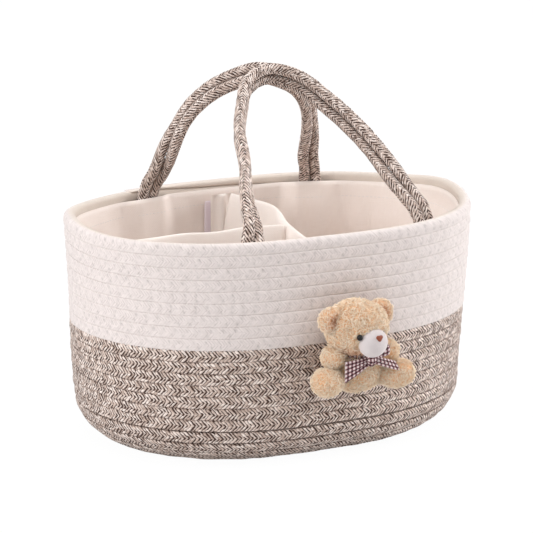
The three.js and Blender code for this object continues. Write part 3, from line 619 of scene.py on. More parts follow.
@dataclass(frozen=True)
class PlushFinish:
    """Short curled pile with random tone and painted shade: darker and warmer at the roots of its curls,
    and in recesses such as under the chin and in the ear hollows.
    """

    name: str
    # Colour at the roots of the curls, partly random tone and partly painted shade deep in the pile.
    root: Colour
    body: Colour
    tip: Colour
    # Painted shade: the darker, warmer colour of the pile in recesses.
    recess_shade_tint: Colour
    fibre_scale: float = 900.0
    fibre_share: float = 0.2
    patch_scale: float = 70.0
    patch_share: float = 0.5
    tone_share: float = 0.45
    tip_share: float = 0.5
    root_share: float = 0.3
    recess_shade_strength: float = 0.8
    relief: float = 0.35

    def material(self) -> Material:
        """Make the material."""
        shade = Shading(self.name, roughness=1.0, sheen=0.8, specular=0.1)
        shade.shader.inputs["Sheen Tint"].default_value = self.body
        fibres = shade.noise(shade.place(), self.fibre_scale, 3.0, 0.6)
        patches = shade.noise(shade.place(), self.patch_scale)
        # Lighter towards the tips of the curls and darker at their roots: painted shade deep in the pile,
        # mixed with the random tone below.
        share = shade.times(shade.stored("tip"), self.tip_share)
        share = shade.scaled(shade.stored("tone"), self.tone_share, share)
        share = shade.scaled(fibres, self.fibre_share, share)
        share = shade.scaled(patches, self.patch_share, share)
        share = shade.math("SUBTRACT", share, self.root_share, clamp=True)
        tint = shade.ramp(share, [(0.0, self.root), (0.4, self.body), (0.9, self.tip)])
        # Painted shade in recesses: the pile turns darker and warmer under the chin and in the ear hollows.
        recess_shade = shade.times(shade.stored("recess_shade"), self.recess_shade_strength, clamp=True)
        tint = shade.mix(recess_shade, tint, self.recess_shade_tint)
        return shade.finish(tint, fibres, self.relief)


@dataclass(frozen=True)
class GinghamFinish:
    """Ribbon woven in two colours, in even checks."""

    name: str
    pale: Colour
    middle: Colour
    dark: Colour
    check: float = 1.8
    thread_scale: float = 3200.0
    thread_share: float = 0.12
    relief: float = 0.15

    def material(self) -> Material:
        """Make the material."""
        shade = Shading(self.name, roughness=0.75, sheen=0.1, specular=0.3)
        where, along, around = shade.surface_map()
        period = self.check * 2 * MILLIMETRE
        bands = []
        for way in (along, around):
            share = shade.math("FRACT", shade.math("DIVIDE", way, period))
            bands.append(shade.math("GREATER_THAN", share, 0.5))
        both = shade.times(shade.math("ADD", bands[0], bands[1]), 0.5)
        threads = shade.noise(where, self.thread_scale)
        plain = shade.math("SUBTRACT", both, self.thread_share / 2)
        both = shade.scaled(threads, self.thread_share, plain, clamp=True)
        tint = shade.ramp(both, [(0.1, self.pale), (0.5, self.middle), (0.9, self.dark)])
        return shade.finish(tint, threads, self.relief)


@dataclass(frozen=True)
class ThreadFinish:
    """Sewing thread, bead or satin stitch: one colour that changes a little from place to place."""

    name: str
    tint: Colour
    shade_tint: Colour
    roughness: float = 0.8
    specular: float = 0.3
    scale: float = 900.0
    relief: float = 0.1

    def material(self) -> Material:
        """Make the material."""
        shade = Shading(self.name, roughness=self.roughness, specular=self.specular)
        grain = shade.noise(shade.place(), self.scale)
        tint = shade.ramp(grain, [(0.25, self.shade_tint), (0.75, self.tint)])
        return shade.finish(tint, grain, self.relief)


MOTTLED = BraidFinish(
    "mottled_braid",
    pale=((0.0, colour(192, 170, 158)), (0.4, colour(224, 204, 193)), (1.0, colour(252, 238, 230))),
    dark=colour(72, 51, 43), dark_share=(0.06, 0.68), strand=3.0, breaks=4.2, relief=0.4)
WHITE = BraidFinish(
    "white_braid", pale=((0.0, colour(219, 209, 206)), (1.0, colour(229, 219, 216))),
    dark=colour(208, 197, 194), dark_share=(-0.3, 0.4), strand=2.5, valley_shade=0.04, relief=0.08, fuzz=0.03)
CANVAS = CanvasFinish("liner_canvas", colour(251, 240, 233), colour(241, 226, 217))
PAD_CANVAS = CanvasFinish("divider_canvas", colour(252, 243, 237), colour(242, 230, 222))
TAPE = CanvasFinish("hook_and_loop_tape", colour(251, 240, 246), colour(242, 229, 237),
                    thread=1.4, relief=0.08)
PLUSH = PlushFinish("bear_plush", root=colour(252, 204, 156), body=colour(255, 227, 194),
                    tip=colour(255, 241, 222), recess_shade_tint=colour(206, 114, 54))
MUZZLE = PlushFinish("muzzle_fleece", root=colour(206, 197, 197), body=colour(222, 214, 214),
                     tip=colour(233, 226, 227), recess_shade_tint=colour(206, 197, 197))
GINGHAM = GinghamFinish("gingham_ribbon", colour(228, 212, 211), colour(128, 84, 89), colour(52, 26, 32))
WHITE_THREAD = ThreadFinish("white_thread", colour(240, 235, 232), colour(224, 217, 213))
BROWN_THREAD = ThreadFinish("brown_thread", colour(150, 130, 120), colour(120, 100, 90))
NOSE_SATIN = ThreadFinish("nose_satin", colour(152, 80, 54), colour(118, 54, 34),
                          roughness=0.55, specular=0.4, scale=1500.0, relief=0.2)
EYE_BEAD = ThreadFinish("eye_bead", colour(20, 17, 17), colour(10, 8, 8),
                        roughness=0.3, scale=200.0, relief=0.0)


@cache
def dressed(finish: Any) -> Material:
    """Give a finish's material, and make it the first time."""
    return finish.material()


# Repeated small shapes

class Repeater(NodeWork):
    """A Geometry Nodes tree that lays one small shape over a piece again and again."""

    def __init__(self, name: str, **inputs: str) -> None:
        """Start a tree.

        Args:
            name: its name.
            inputs: name and kind of each input after the geometry and before the material.
        """
        group = bpy.data.node_groups.new(name, "GeometryNodeTree")
        super().__init__(group)
        group.interface.new_socket("Geometry", in_out="INPUT", socket_type="NodeSocketGeometry")
        self.keys = {}
        for label, kind in {**inputs, "Material": "Material"}.items():
            socket = group.interface.new_socket(label, in_out="INPUT", socket_type=f"NodeSocket{kind}")
            self.keys[label] = socket.identifier
        group.interface.new_socket("Geometry", in_out="OUTPUT", socket_type="NodeSocketGeometry")
        self.start = self.node("NodeGroupInput").outputs

    def named(self, name: str, kind: str) -> Socket:
        """Read a value that the piece stores for each of its points."""
        return self.node("GeometryNodeInputNamedAttribute", {"Name": name}, data_type=kind).outputs[0]

    def leaning(self, rotation: Any, angles: Any) -> Socket:
        """Turn a rotation further, about its own axes."""
        turn = self.node("FunctionNodeEulerToRotation", {0: angles}).outputs[0]
        inputs = {0: rotation, 1: turn}
        return self.node("FunctionNodeRotateRotation", inputs, rotation_space="LOCAL").outputs[0]

    def storing(self, geometry: Socket, name: str, value: Socket, domain: str) -> Socket:
        """Store a value with each point, or with each repeated shape."""
        inputs = {"Geometry": geometry, "Name": name, "Value": value}
        node = self.node("GeometryNodeStoreNamedAttribute", inputs, data_type="FLOAT", domain=domain)
        return node.outputs[0]

    def end(self, geometry: Socket) -> None:
        """Make the shapes real, smooth them, give them their material and end the tree."""
        real = self.node("GeometryNodeRealizeInstances", {0: geometry}).outputs[0]
        smooth = self.node("GeometryNodeSetShadeSmooth", {"Geometry": real}).outputs[0]
        inputs = {"Geometry": smooth, "Material": self.start["Material"]}
        shapes = self.node("GeometryNodeSetMaterial", inputs).outputs[0]
        self.node("NodeGroupOutput", {0: shapes})

    def put_on(self, piece: Piece, values: dict[str, Any]) -> Piece:
        """Run the tree on a piece and keep the result as its mesh.

        Args:
            piece: the piece.
            values: the inputs by name.

        Returns:
            The piece.
        """
        modifier = piece.modifiers.new(self.tree.name, "NODES")
        modifier.node_group = self.tree
        for label, value in values.items():
            modifier[self.keys[label]] = value
        return baked(piece)


class StitchTree(Repeater):
    """Stitches of thread along a line, which lean to and fro."""

    def __init__(self) -> None:
        """Build the tree."""
        super().__init__("stitches_along_a_line", Spacing="Float", Size="Vector", Lean="Float")
        curve = self.node("GeometryNodeMeshToCurve", {"Mesh": self.start["Geometry"]}).outputs[0]
        line = self.node("GeometryNodeResampleCurve", {"Curve": curve}, mode="LENGTH")
        self.feed(line.inputs["Length"], self.start["Spacing"])
        inputs = {0: self.node("GeometryNodeInputTangent").outputs[0],
                  1: self.named("outward", "FLOAT_VECTOR")}
        axes = self.node("FunctionNodeAxesToRotation", inputs,
                         primary_axis="X", secondary_axis="Z").outputs[0]
        number = self.node("GeometryNodeInputIndex").outputs[0]
        parity = self.scaled(self.math("FLOORED_MODULO", number, 2.0), 2.0, -1.0)
        lean = self.times(parity, self.start["Lean"])
        angles = self.node("ShaderNodeCombineXYZ", {2: lean}).outputs[0]
        bead = self.node("GeometryNodeMeshUVSphere", {"Segments": 6, "Rings": 5, "Radius": 0.5}).outputs[0]
        inputs = {"Geometry": bead, "Rotation": (0.0, math.pi / 2, 0.0)}
        lying = self.node("GeometryNodeTransform", inputs).outputs[0]
        self.end(self.node("GeometryNodeInstanceOnPoints", {
            "Points": line.outputs[0], "Instance": lying, "Rotation": self.leaning(axes, angles),
            "Scale": self.start["Size"],
        }).outputs[0])

    def sew(self, line: Piece, spacing: float, size: Triple, lean: float, material: Material) -> Piece:
        """Sew stitches along a line.

        Args:
            line: the line, with its way out of the surface.
            spacing: from stitch to stitch, in millimetres.
            size: length, width and height of a stitch, in millimetres.
            lean: its turn to and fro, in degrees.
            material: of the thread.

        Returns:
            The stitches.
        """
        return self.put_on(line, {
            "Spacing": spacing * MILLIMETRE, "Size": [value * MILLIMETRE for value in size],
            "Lean": math.radians(lean), "Material": material})


class CurlTree(Repeater):
    """Short curls of pile that stand on a surface."""

    SWEEP = math.radians(150)
    YARN = 0.19
    SHIFT = (-0.6, 0.0, 0.05)
    SWING = 0.8
    SIZES = {2: 0.75, 3: 1.25}
    MOST_PER_AREA = 6.0e6

    def __init__(self) -> None:
        """Build the tree."""
        super().__init__("curls_on_a_surface", Distance="Float", Curl="Float", Seed="Int")
        spread = self.node("GeometryNodeDistributePointsOnFaces", {
            "Mesh": self.start["Geometry"], "Distance Min": self.start["Distance"],
            "Density Max": self.MOST_PER_AREA, "Density Factor": self.named("pile", "FLOAT"),
            "Seed": self.start["Seed"],
        }, distribute_method="POISSON")
        inputs = {"Resolution": 4, "Radius": 1.0, "Start Angle": 0.0, "Sweep Angle": self.SWEEP}
        arc = self.node("GeometryNodeCurveArc", inputs).outputs[0]
        inputs = {"Resolution": 3, "Radius": self.YARN}
        ring = self.node("GeometryNodeCurvePrimitiveCircle", inputs).outputs[0]
        inputs = {"Curve": arc, "Profile Curve": ring, "Fill Caps": True}
        curl = self.node("GeometryNodeCurveToMesh", inputs).outputs[0]
        position = self.node("GeometryNodeInputPosition").outputs[0]
        height = self.node("ShaderNodeSeparateXYZ", {0: position}).outputs[1]
        # Height up each curl, by which the pile's colour paints shade towards the roots.
        tip = self.scaled(height, 0.6, 0.2, clamp=True)
        curl = self.storing(curl, "tip", tip, "POINT")
        inputs = {"Geometry": curl, "Rotation": (math.pi / 2, 0.0, 0.0), "Translation": self.SHIFT}
        standing = self.node("GeometryNodeTransform", inputs).outputs[0]
        inputs = {0: (-self.SWING, -self.SWING, 0.0), 1: (self.SWING, self.SWING, FULL_TURN)}
        swing = self.node("FunctionNodeRandomValue", inputs, data_type="FLOAT_VECTOR").outputs[0]
        size = self.node("FunctionNodeRandomValue", self.SIZES, data_type="FLOAT").outputs[1]
        laid = self.node("GeometryNodeInstanceOnPoints", {
            "Points": spread.outputs["Points"], "Instance": standing,
            "Rotation": self.leaning(spread.outputs["Rotation"], swing),
            "Scale": self.times(size, self.start["Curl"])}).outputs[0]
        tone = self.node("FunctionNodeRandomValue", {2: 0.0, 3: 1.0}, data_type="FLOAT").outputs[1]
        self.end(self.storing(laid, "tone", tone, "INSTANCE"))


def stitch_line(name: str, line: Array, outward: Array) -> Piece:
    """Make the line that a row of stitches follows.

    Args:
        name: name of the row.
        line: its points in millimetres.
        outward: the way out of the surface at each point.

    Returns:
        The line, as a piece with edges only.
    """
    mesh = bpy.data.meshes.new(name)
    mesh.from_pydata((line * MILLIMETRE).tolist(), [(at, at + 1) for at in range(len(line) - 1)], [])
    piece = put_in_scene(bpy.data.objects.new(name, mesh))
    point_values(piece, "outward", outward)
    return piece


# The basket

@dataclass
class Basket:
    """The outline of the basket: a flat base, a round edge and a wall that leans in towards the rim.

    A level counts turns of rope from the middle of the base to the rim. The soft wall bulges at both ends,
    by a depth about a height with a spread. The rim is lifted, by a height about an angle with a
    narrowness, and bulges in the same way.
    """

    rim_half_length: float = 179.0
    rim_half_width: float = 123.5
    base_half_length: float = 170.0
    base_half_width: float = 128.0
    height: float = 190.0
    base_corner: float = 36.0
    oval_share: float = 0.32
    rope: float = 10.0
    turn_gap: float = 0.5
    base_turns: int = 9
    wall_turns: int = 20
    jog: float = 3 / 24
    start_level: float = 67.5 / 360
    centre_share: float = 0.1
    steps: int = 300
    left_bulge: Triple = (2.6, 65.0, 45.0)
    right_bulge: Triple = (2.7, 150.0, 65.0)
    rim_zone: Pair = (140.0, 190.0)
    rim_lifts: tuple[Triple, ...] = ((5.0, 0.08, 14), (3.8, 2.9, 14), (-2.0, 2.0, 6))
    rim_bulge: Triple = (1.0, 0.2, 8)

    def __post_init__(self) -> None:
        """Work out what follows from the sizes."""
        half = self.rope / 2
        self.reach = self.base_half_width - self.base_corner
        self.corner = self.base_corner - half
        self.corner_run = self.corner * math.pi / 2
        self.bottom = np.array([self.base_half_width - half, self.base_corner])
        self.top = np.array([self.rim_half_width - half, self.height - half + self.turn_gap / 2])
        self.wall_run = float(np.linalg.norm(self.top - self.bottom))
        self.rise = (self.top - self.bottom) / self.wall_run
        self.base_pitch = self.reach / self.base_turns
        self.pitch = (self.corner_run + self.wall_run) / (self.wall_turns + self.start_level)
        self.first_angle = FULL_TURN * self.start_level

    def points(self, level: Any, angle: Any, out: Any = 0.0, up: Any = 0.0) -> Array:
        """Give points of the outline.

        Args:
            level: level of the rope's middle.
            angle: angle round the basket.
            out: distance outwards from the rope's middle.
            up: distance up the wall from the rope's middle.

        Returns:
            The points, in millimetres.
        """
        values = (np.asarray(value, float) for value in (level, angle, out, up))
        level, angle, out, up = np.broadcast_arrays(*values)
        run = (level - self.base_turns) * self.pitch
        turn = np.clip(run / self.corner, 0, math.pi / 2)
        share = np.clip((run - self.corner_run) / self.wall_run, 0, None)
        in_wall = run > self.corner_run
        along_out = np.where(in_wall, self.rise[0], np.cos(turn))
        along_up = np.where(in_wall, self.rise[1], np.sin(turn))
        flat = np.minimum(level, self.base_turns) * self.base_pitch
        radius = flat + self.corner * np.sin(turn) + (self.top[0] - self.bottom[0]) * share
        height = self.rope / 2 + self.corner * (1 - np.cos(turn))
        height = height + (self.top[1] - self.bottom[1]) * share
        base_core = self.base_half_length - self.base_half_width
        core = base_core + (self.rim_half_length - self.rim_half_width - base_core) * share
        oval = self.oval_share * np.clip(level / self.base_turns, 0, 1)
        cosine = np.cos(angle)
        left = self.left_bulge[0] * bell(height, *self.left_bulge[1:]) * lobe(-cosine, 2)
        right = self.right_bulge[0] * bell(height, *self.right_bulge[1:]) * lobe(cosine, 2)
        radius = radius + left + right + out * along_up + up * along_out
        near_rim = smooth_step(height, *self.rim_zone)
        lift = sum(size * lobe(np.cos(angle - middle), power) for size, middle, power in self.rim_lifts)
        height = height + near_rim * lift
        size, middle, power = self.rim_bulge
        radius = radius + near_rim * size * lobe(np.cos(angle - middle), power)
        height = height - out * along_out + up * along_up
        across = core * eased(cosine, oval) + radius * cosine
        return np.stack([across, radius * np.sin(angle), height], axis=-1)

    def outward(self, level: Any, angle: Any) -> Array:
        """Give the way out of the wall at a level and angle."""
        way = self.points(level, angle, 1.0) - self.points(level, angle, 0.0)
        return unit(way)

    def level_at(self, height: Any) -> Array:
        """Give the level at which the wall has a height."""
        share = (np.asarray(height, float) - self.bottom[1]) / (self.top[1] - self.bottom[1])
        return self.base_turns + (self.corner_run + share * self.wall_run) / self.pitch

    def climb(self, turn: Array) -> Array:
        """Give a turn's level: it lies flat, and climbs to the next one over a short jog at its start."""
        turn = np.asarray(turn, float)
        part = turn - np.floor(turn)
        rise = smooth_step(part, 0, self.jog)
        return turn + self.start_level + np.minimum(1, turn / self.base_turns) * (rise - part)

    def even_parts(self, steps: int) -> Array:
        """Give parts of one turn whose points are at even distances along the wall.

        Args:
            steps: how many.

        Returns:
            The parts, from 0 up to but without 1.
        """
        near = np.linspace(-1, 1, 801)
        fine = np.sign(near) * np.arcsin(np.abs(near) ** (1 / self.oval_share))
        coarse = np.linspace(0, FULL_TURN, 1440)
        angles = np.concatenate([math.pi / 2 + fine, 1.5 * math.pi + fine, coarse])
        angles = np.unique((angles - self.first_angle) % FULL_TURN)
        angles = np.concatenate([[0.0], angles, [FULL_TURN]]) + self.first_angle
        middle_of_wall = self.base_turns + self.wall_turns / 2
        length = run_length(self.points(middle_of_wall, angles))
        places = np.linspace(0, length[-1], steps, endpoint=False)
        return (np.interp(places, length, angles) - self.first_angle) / FULL_TURN

    def angle_of(self, turn: Array) -> Array:
        """Give the angle round the basket at a turn."""
        return self.first_angle + np.asarray(turn) * FULL_TURN

    def angle_at(self, across: float, level: float, out: float, side: int) -> float:
        """Find the angle at which the outline has a place along X.

        Args:
            across: the place along X.
            level: the level.
            out: distance outwards from the rope's middle.
            side: 1 for the rear and -1 for the front.

        Returns:
            The angle.
        """
        low, high = 0.0, math.pi
        for _ in range(50):
            middle = (low + high) / 2
            if self.points(level, middle, out)[0] > across:
                low = middle
            else:
                high = middle
        return side * (low + high) / 2


class Coil(Enum):
    """The two ropes of the basket, with the turns they run over."""

    MOTTLED = (0, 20)
    WHITE = (20, 29)


@dataclass
class CoilRope:
    """One rope of the basket, wound turn upon turn and sewn to its neighbours."""

    basket: Basket
    kind: Coil
    steps: int = 300
    sides: int = 13
    fullness: float = 2.6
    groove: float = 0.76
    stitch: float = 4.7
    stitch_reach: float = 2.4
    stitch_size: Triple = (6.4, 0.75, 0.75)
    stitch_lean: float = 45.0
    stitch_depth: float = 0.75
    dent_width: float = 0.9
    dent_depth: float = 0.0
    lump: float = 0.25
    wedge: float = 3 / 24

    def section(self) -> tuple[Array, Array, Array, Array]:
        """Shape the section: two sewn turns meet close below the outer face, and a free side is round.

        Returns:
            The share out and up of each point, its share out on a free side, and the way round.
        """
        outer = np.linspace(-0.5, 0.5, self.sides - 4)
        inner = np.linspace(0.5, 1.5, 6)[1:-1]
        angle = np.concatenate([outer, inner]) * math.pi
        power = 2 / self.fullness
        sign = np.where(np.arange(len(angle)) < len(outer), 1.0, -1.0)
        sewn = sign * (self.groove + (1 - self.groove) * np.abs(np.cos(angle)) ** power)
        up = eased(np.sin(angle), power)
        power = np.where(sign > 0, 2.0, 3.4)
        free = sign * np.clip(1 - np.abs(up) ** power, 0, 1) ** (1 / power)
        loop = np.stack([sewn, up], axis=1) * self.basket.rope / 2
        length = round_length(loop)
        middle = np.interp(0.0, angle[:len(outer)], length[:len(outer)])
        return sewn, up, free, (length - middle) * 4 * MOTTLED.lane / length[-1]

    def turns(self) -> Array:
        """Give the turns at which the rope has a section."""
        first, last = self.kind.value
        parts = self.basket.even_parts(self.steps)
        whole = np.concatenate([turn + parts for turn in range(first, last)])
        if self.kind is Coil.WHITE:
            end = parts[parts < self.wedge]
            return np.concatenate([whole, last + end])
        return np.append(whole, float(last))

    def build(self, name: str, finish: BraidFinish) -> Piece:
        """Make the rope.

        Args:
            name: name of the piece.
            finish: its braid.

        Returns:
            The piece.
        """
        basket = self.basket
        turns = self.turns()
        last = self.kind.value[1]
        level = np.where(turns > last, basket.climb(np.array(float(last))), basket.climb(turns))
        angle = basket.angle_of(turns)
        half = np.where(level < basket.base_turns - 0.5, basket.base_pitch, basket.pitch) / 2
        lift = np.zeros_like(half)
        if self.kind is Coil.WHITE:
            beyond = turns > last
            drop = (level - basket.climb(turns - 1)) * basket.pitch / 2
            lift = np.where(beyond, half - drop, 0)
            half = np.where(beyond, np.maximum(drop, 0.5), half)
        sewn, up, free, around = self.section()
        rim = (turns >= last - 1) & (self.kind is Coil.WHITE)
        out = np.where(rim[:, None] & (up > 0)[None, :], free[None, :], sewn[None, :])
        middle = basket.points(level, angle)
        along = run_length(middle)
        swell = 1 + self.lump / 5 * Ripple(14.0, 3).at(middle)
        dents = self.dents(turns, up, out, half)
        reach = (basket.rope / 2 * swell)[:, None] * out - dents * self.dent_depth
        rings = basket.points(level[:, None], angle[:, None], reach, half[:, None] * up + lift[:, None])
        draw = basket.centre_share * np.maximum(0, 1 - level / basket.base_turns)
        rings[..., 1] -= basket.base_pitch * draw[:, None]
        rings[..., 2] = np.maximum(rings[..., 2], 0)
        piece = skin(name, rings, along, around, dressed(finish))
        # The finish paints shade in the stitch dimples by this share.
        point_values(piece, "dent", dents.ravel())
        # Where the finish paints the cream liner's reflection: the inner side of the top turns.
        point_values(piece, "inner", (rim[:, None] * smooth_step(-out, -0.5, 0.3)).ravel())
        return piece

    def dents(self, turns: Array, up: Array, out: Array, half: Array) -> Array:
        """Give how deep the thread pulls in each point of the rope, which the finish also uses to paint
        shade in the dimples.

        Args:
            turns: turn of each section.
            up: share up of each point of a section.
            out: share out of each point of each section.
            half: half the height of each section.

        Returns:
            A share from 0 to 1 for each point.
        """
        total = np.zeros((len(turns), len(up)))
        for side, shift in ((1, 0.0), (-1, 1.0)):
            groove = turns - shift
            level = self.basket.climb(np.maximum(groove, 0)) + 0.5
            line = self.basket.points(level, self.basket.angle_of(groove))
            length = run_length(line)
            stray = Ripple(13.0, 51 + side).at(line)
            phase = (length / (2 * self.stitch) + (0.0 if side > 0 else 0.5) + 0.09 * stray) % 1.0
            beat = bell((phase - 0.5) * 2 * self.stitch, 0, self.dent_width)
            beat *= 0.65 + 0.35 * np.clip(Ripple(9.0, 61 + side).at(line), -1, 1)
            row = bell(half[:, None] * (1 - side * up[None, :]), self.stitch_reach, self.dent_width)
            total += beat[:, None] * row * (out > 0.3)
        return np.clip(total, 0, 1)

    def thread(self, name: str, finish: ThreadFinish, tree: StitchTree,
               first: float, last: float) -> Piece:
        """Lay the zigzag of thread that holds each turn to the next.

        Args:
            name: name of the piece.
            finish: its thread.
            tree: the tree that lays stitches.
            first: turn at which the seam starts.
            last: turn at which it ends.

        Returns:
            The piece.
        """
        parts = self.basket.even_parts(self.basket.steps)
        turns = np.concatenate([turn + parts for turn in range(math.floor(first), math.ceil(last))])
        turns = turns[(turns >= first) & (turns <= last)]
        level = self.basket.climb(turns) + 0.5
        angle = self.basket.angle_of(turns)
        line = self.basket.points(level, angle, self.basket.rope / 2 - self.stitch_depth)
        piece = stitch_line(name, line, self.basket.outward(level, angle))
        return tree.sew(piece, self.stitch, self.stitch_size, self.stitch_lean, dressed(finish))


# The handles

@dataclass
class Handle:
    """A handle of two ropes side by side, with the tails that are sewn down behind the liner."""

    basket: Basket
    name: str
    side: int
    spacing: float
    offset: float
    lean: float
    height: float
    turns: Pair
    shares: tuple[Pair, ...]
    rope: float = 10.1
    gap: float = -0.2
    draw: float = 3.0
    straight: float = 6.0
    turned: float = 66.0
    tail: float = 68.0
    step: float = 0.62
    sides: int = 40
    relief: float = 0.32
    bend: Pair = (8.0, 15.0)
    left_shares: Optional[tuple[Pair, ...]] = None
    left_turn_start: float = 6.0
    seam_height: float = 2.9
    seam_margin: int = 8
    stitch: float = 4.2
    stitch_size: Triple = (4.4, 0.9, 0.9)
    stitch_lean: float = 50.0

    def __post_init__(self) -> None:
        """Read the handle's body and hinge from the frame."""
        self.body = Body(f"{self.name}_handle")
        joint = next(joint for joint in frame["joints"] if joint["child"] == self.body.value)
        self.hinge = np.array(joint["pos_m"]) / MILLIMETRE
        self.axis = np.array(joint["axis"])

    @property
    def half_pair(self) -> float:
        """Distance from the middle of the pair to the middle of each rope."""
        return (self.rope + self.gap) / 2

    def arch(self) -> tuple[Array, Array, Array]:
        """Lay out the arch.

        Returns:
            Its middle line, the way along it and the way across the pair.
        """
        along_line = -self.side * self.axis
        inward = np.array([-along_line[1], along_line[0], 0.0])
        lean = self.side * math.radians(self.lean)
        up_arch = -inward * math.sin(lean) + np.array([0.0, 0.0, math.cos(lean)])
        side_arch = inward * math.cos(lean) + np.array([0.0, 0.0, math.sin(lean)])
        half = (self.spacing - 2 * self.draw) / 2 / abs(self.axis[0])
        left = [(-half * across, self.height * up) for across, up in self.left_shares or self.shares]
        right = [(half * across, self.height * up) for across, up in self.shares[-2::-1]]
        plan = evenly(spline(left + right), 161)
        share = np.linspace(0, 1, len(plan))
        tangent = unit(np.gradient(plan, axis=0))
        from_foot = np.minimum(share, 1 - share) * run_length(plan)[-1]
        tangent[from_foot < self.straight / 2] = (0.0, 1.0)
        tangent[(from_foot < self.straight / 2) & (share > 0.5)] = (0.0, -1.0)
        turn = self.turns[0] + (self.turns[1] - self.turns[0]) * smooth_step(share, 0.25, 0.75)
        start = np.where(share < 0.5, self.left_turn_start, self.straight)
        turn = np.radians(turn) * smooth_step(from_foot, start, self.turned)
        middle = self.hinge + plan[:, :1] * along_line + plan[:, 1:] * up_arch
        outward = -tangent[:, 1:] * along_line + tangent[:, :1] * up_arch
        across = outward * np.cos(turn)[:, None] + self.side * side_arch * np.sin(turn)[:, None]
        along = tangent[:, :1] * along_line + tangent[:, 1:] * up_arch
        return middle, along, across

    def tail_points(self, end: int, rope: int) -> Array:
        """Give the middle of a tail, from its lower end to its upper one.

        Args:
            end: -1 for the left foot and 1 for the right one.
            rope: -1 for the inner rope and 1 for the outer one.

        Returns:
            The points.
        """
        depth = self.basket.rope / 2 + 0.5 + self.rope / 2
        across = self.offset + end * self.spacing / 2 + rope * end * self.half_pair
        points = []
        for height in np.linspace(self.basket.height - self.tail, self.basket.height - 6, 5):
            level = float(self.basket.level_at(height))
            angle = self.basket.angle_at(across, level, -depth, self.side)
            point = self.basket.points(level, angle, -depth)
            points.append([point[0], point[1], height])
        return np.array(points)

    def rope_line(self, rope: int) -> tuple[Array, Array]:
        """Lay out a rope with its tails.

        Args:
            rope: -1 for the inner rope and 1 for the outer one.

        Returns:
            Its middle line, and the way that leads off its partner at each point.
        """
        middle, _, across = self.arch()
        arch = middle + across * rope * self.half_pair
        left, right = self.tail_points(-1, rope), self.tail_points(1, rope)
        knots = np.vstack([left, arch[::4], right[::-1]])
        route = spline(knots, 12)
        count = int(run_length(route)[-1] / self.step)
        first, last = (np.tile(across[end], (len(left), 1)) for end in (0, -1))
        ways = np.vstack([first, across[::4], last])
        places = run_length(knots)
        way = along_values(np.linspace(0, places[-1], count), places, ways) * rope
        return evenly(route, count), way

    def build_rope(self, rope: int, label: str) -> Piece:
        """Make one rope of the handle with both its tails.

        Args:
            rope: -1 for the inner rope and 1 for the outer one.
            label: the rope's name.

        Returns:
            The piece.
        """
        line, way = self.rope_line(rope)
        tangent = unit(np.gradient(line, axis=0))
        across = unit(way - tangent * np.sum(way * tangent, axis=1, keepdims=True))
        over = np.cross(tangent, across)
        angle = np.arange(self.sides) / self.sides * FULL_TURN
        lane = MOTTLED.lane
        around = np.arange(self.sides + 1) / self.sides * 4 * lane
        along = run_length(line)
        fold = np.abs((around[:-1] / (2 * lane) + 0.5) % 1 - 0.5) * 2 * lane
        count = (along[:, None] + fold[None, :] * MOTTLED.slant) / MOTTLED.strand
        ridge = np.abs(np.sin(count * math.pi)) ** 0.7
        edge = 1 - 0.35 * (np.abs(fold / lane - 0.5) * 2)[None, :] ** 3
        lump = 0.12 * Ripple(9.0, 11 + rope).at(line)
        flat = 1 - 0.05 * np.cos(angle[None, :]) ** 8
        radius = (self.rope / 2 - self.relief + lump[:, None] + self.relief * ridge * edge) * flat
        round_end_shares = np.array([0.55, 0.85, 0.95])[:, None]
        radius[:3] *= round_end_shares
        radius[-3:] *= round_end_shares[::-1]
        way_out = (np.cos(angle)[None, :, None] * across[:, None, :]
                   + np.sin(angle)[None, :, None] * over[:, None, :])
        rings = line[:, None, :] + radius[..., None] * way_out
        name = f"{self.name}_handle_{label}_rope_braided"
        piece = skin(name, rings, along, around, dressed(MOTTLED))
        point_values(piece, "dent", np.zeros(len(piece.data.vertices)))
        return piece

    def build(self, tree: StitchTree) -> None:
        """Make the handle's ropes and the thread between them.

        Args:
            tree: the tree that lays stitches.
        """
        for rope, label in ((-1, "inner"), (1, "outer")):
            piece = self.build_rope(rope, label)
            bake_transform(piece)
            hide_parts(f"{self.name}_handle_{label}_rope", f"{self.name}_left_{label}_tail",
                        f"{self.name}_right_{label}_tail")
            log.info("%s: %d faces", piece.name, len(piece.data.polygons))
        middle, along, across = self.arch()
        over = unit(np.cross(along, across))
        sewn = slice(self.seam_margin, -self.seam_margin)
        thread = dressed(BROWN_THREAD)
        for face, label in ((1, "upper"), (-1, "lower")):
            line = (middle + over * face * self.seam_height)[sewn]
            row = stitch_line(f"{self.name}_handle_{label}_stitches", line, (over * face)[sewn])
            tree.sew(row, self.stitch, self.stitch_size, self.stitch_lean, thread)
            settle(row, self.body, "mottled_rope")


# The liner

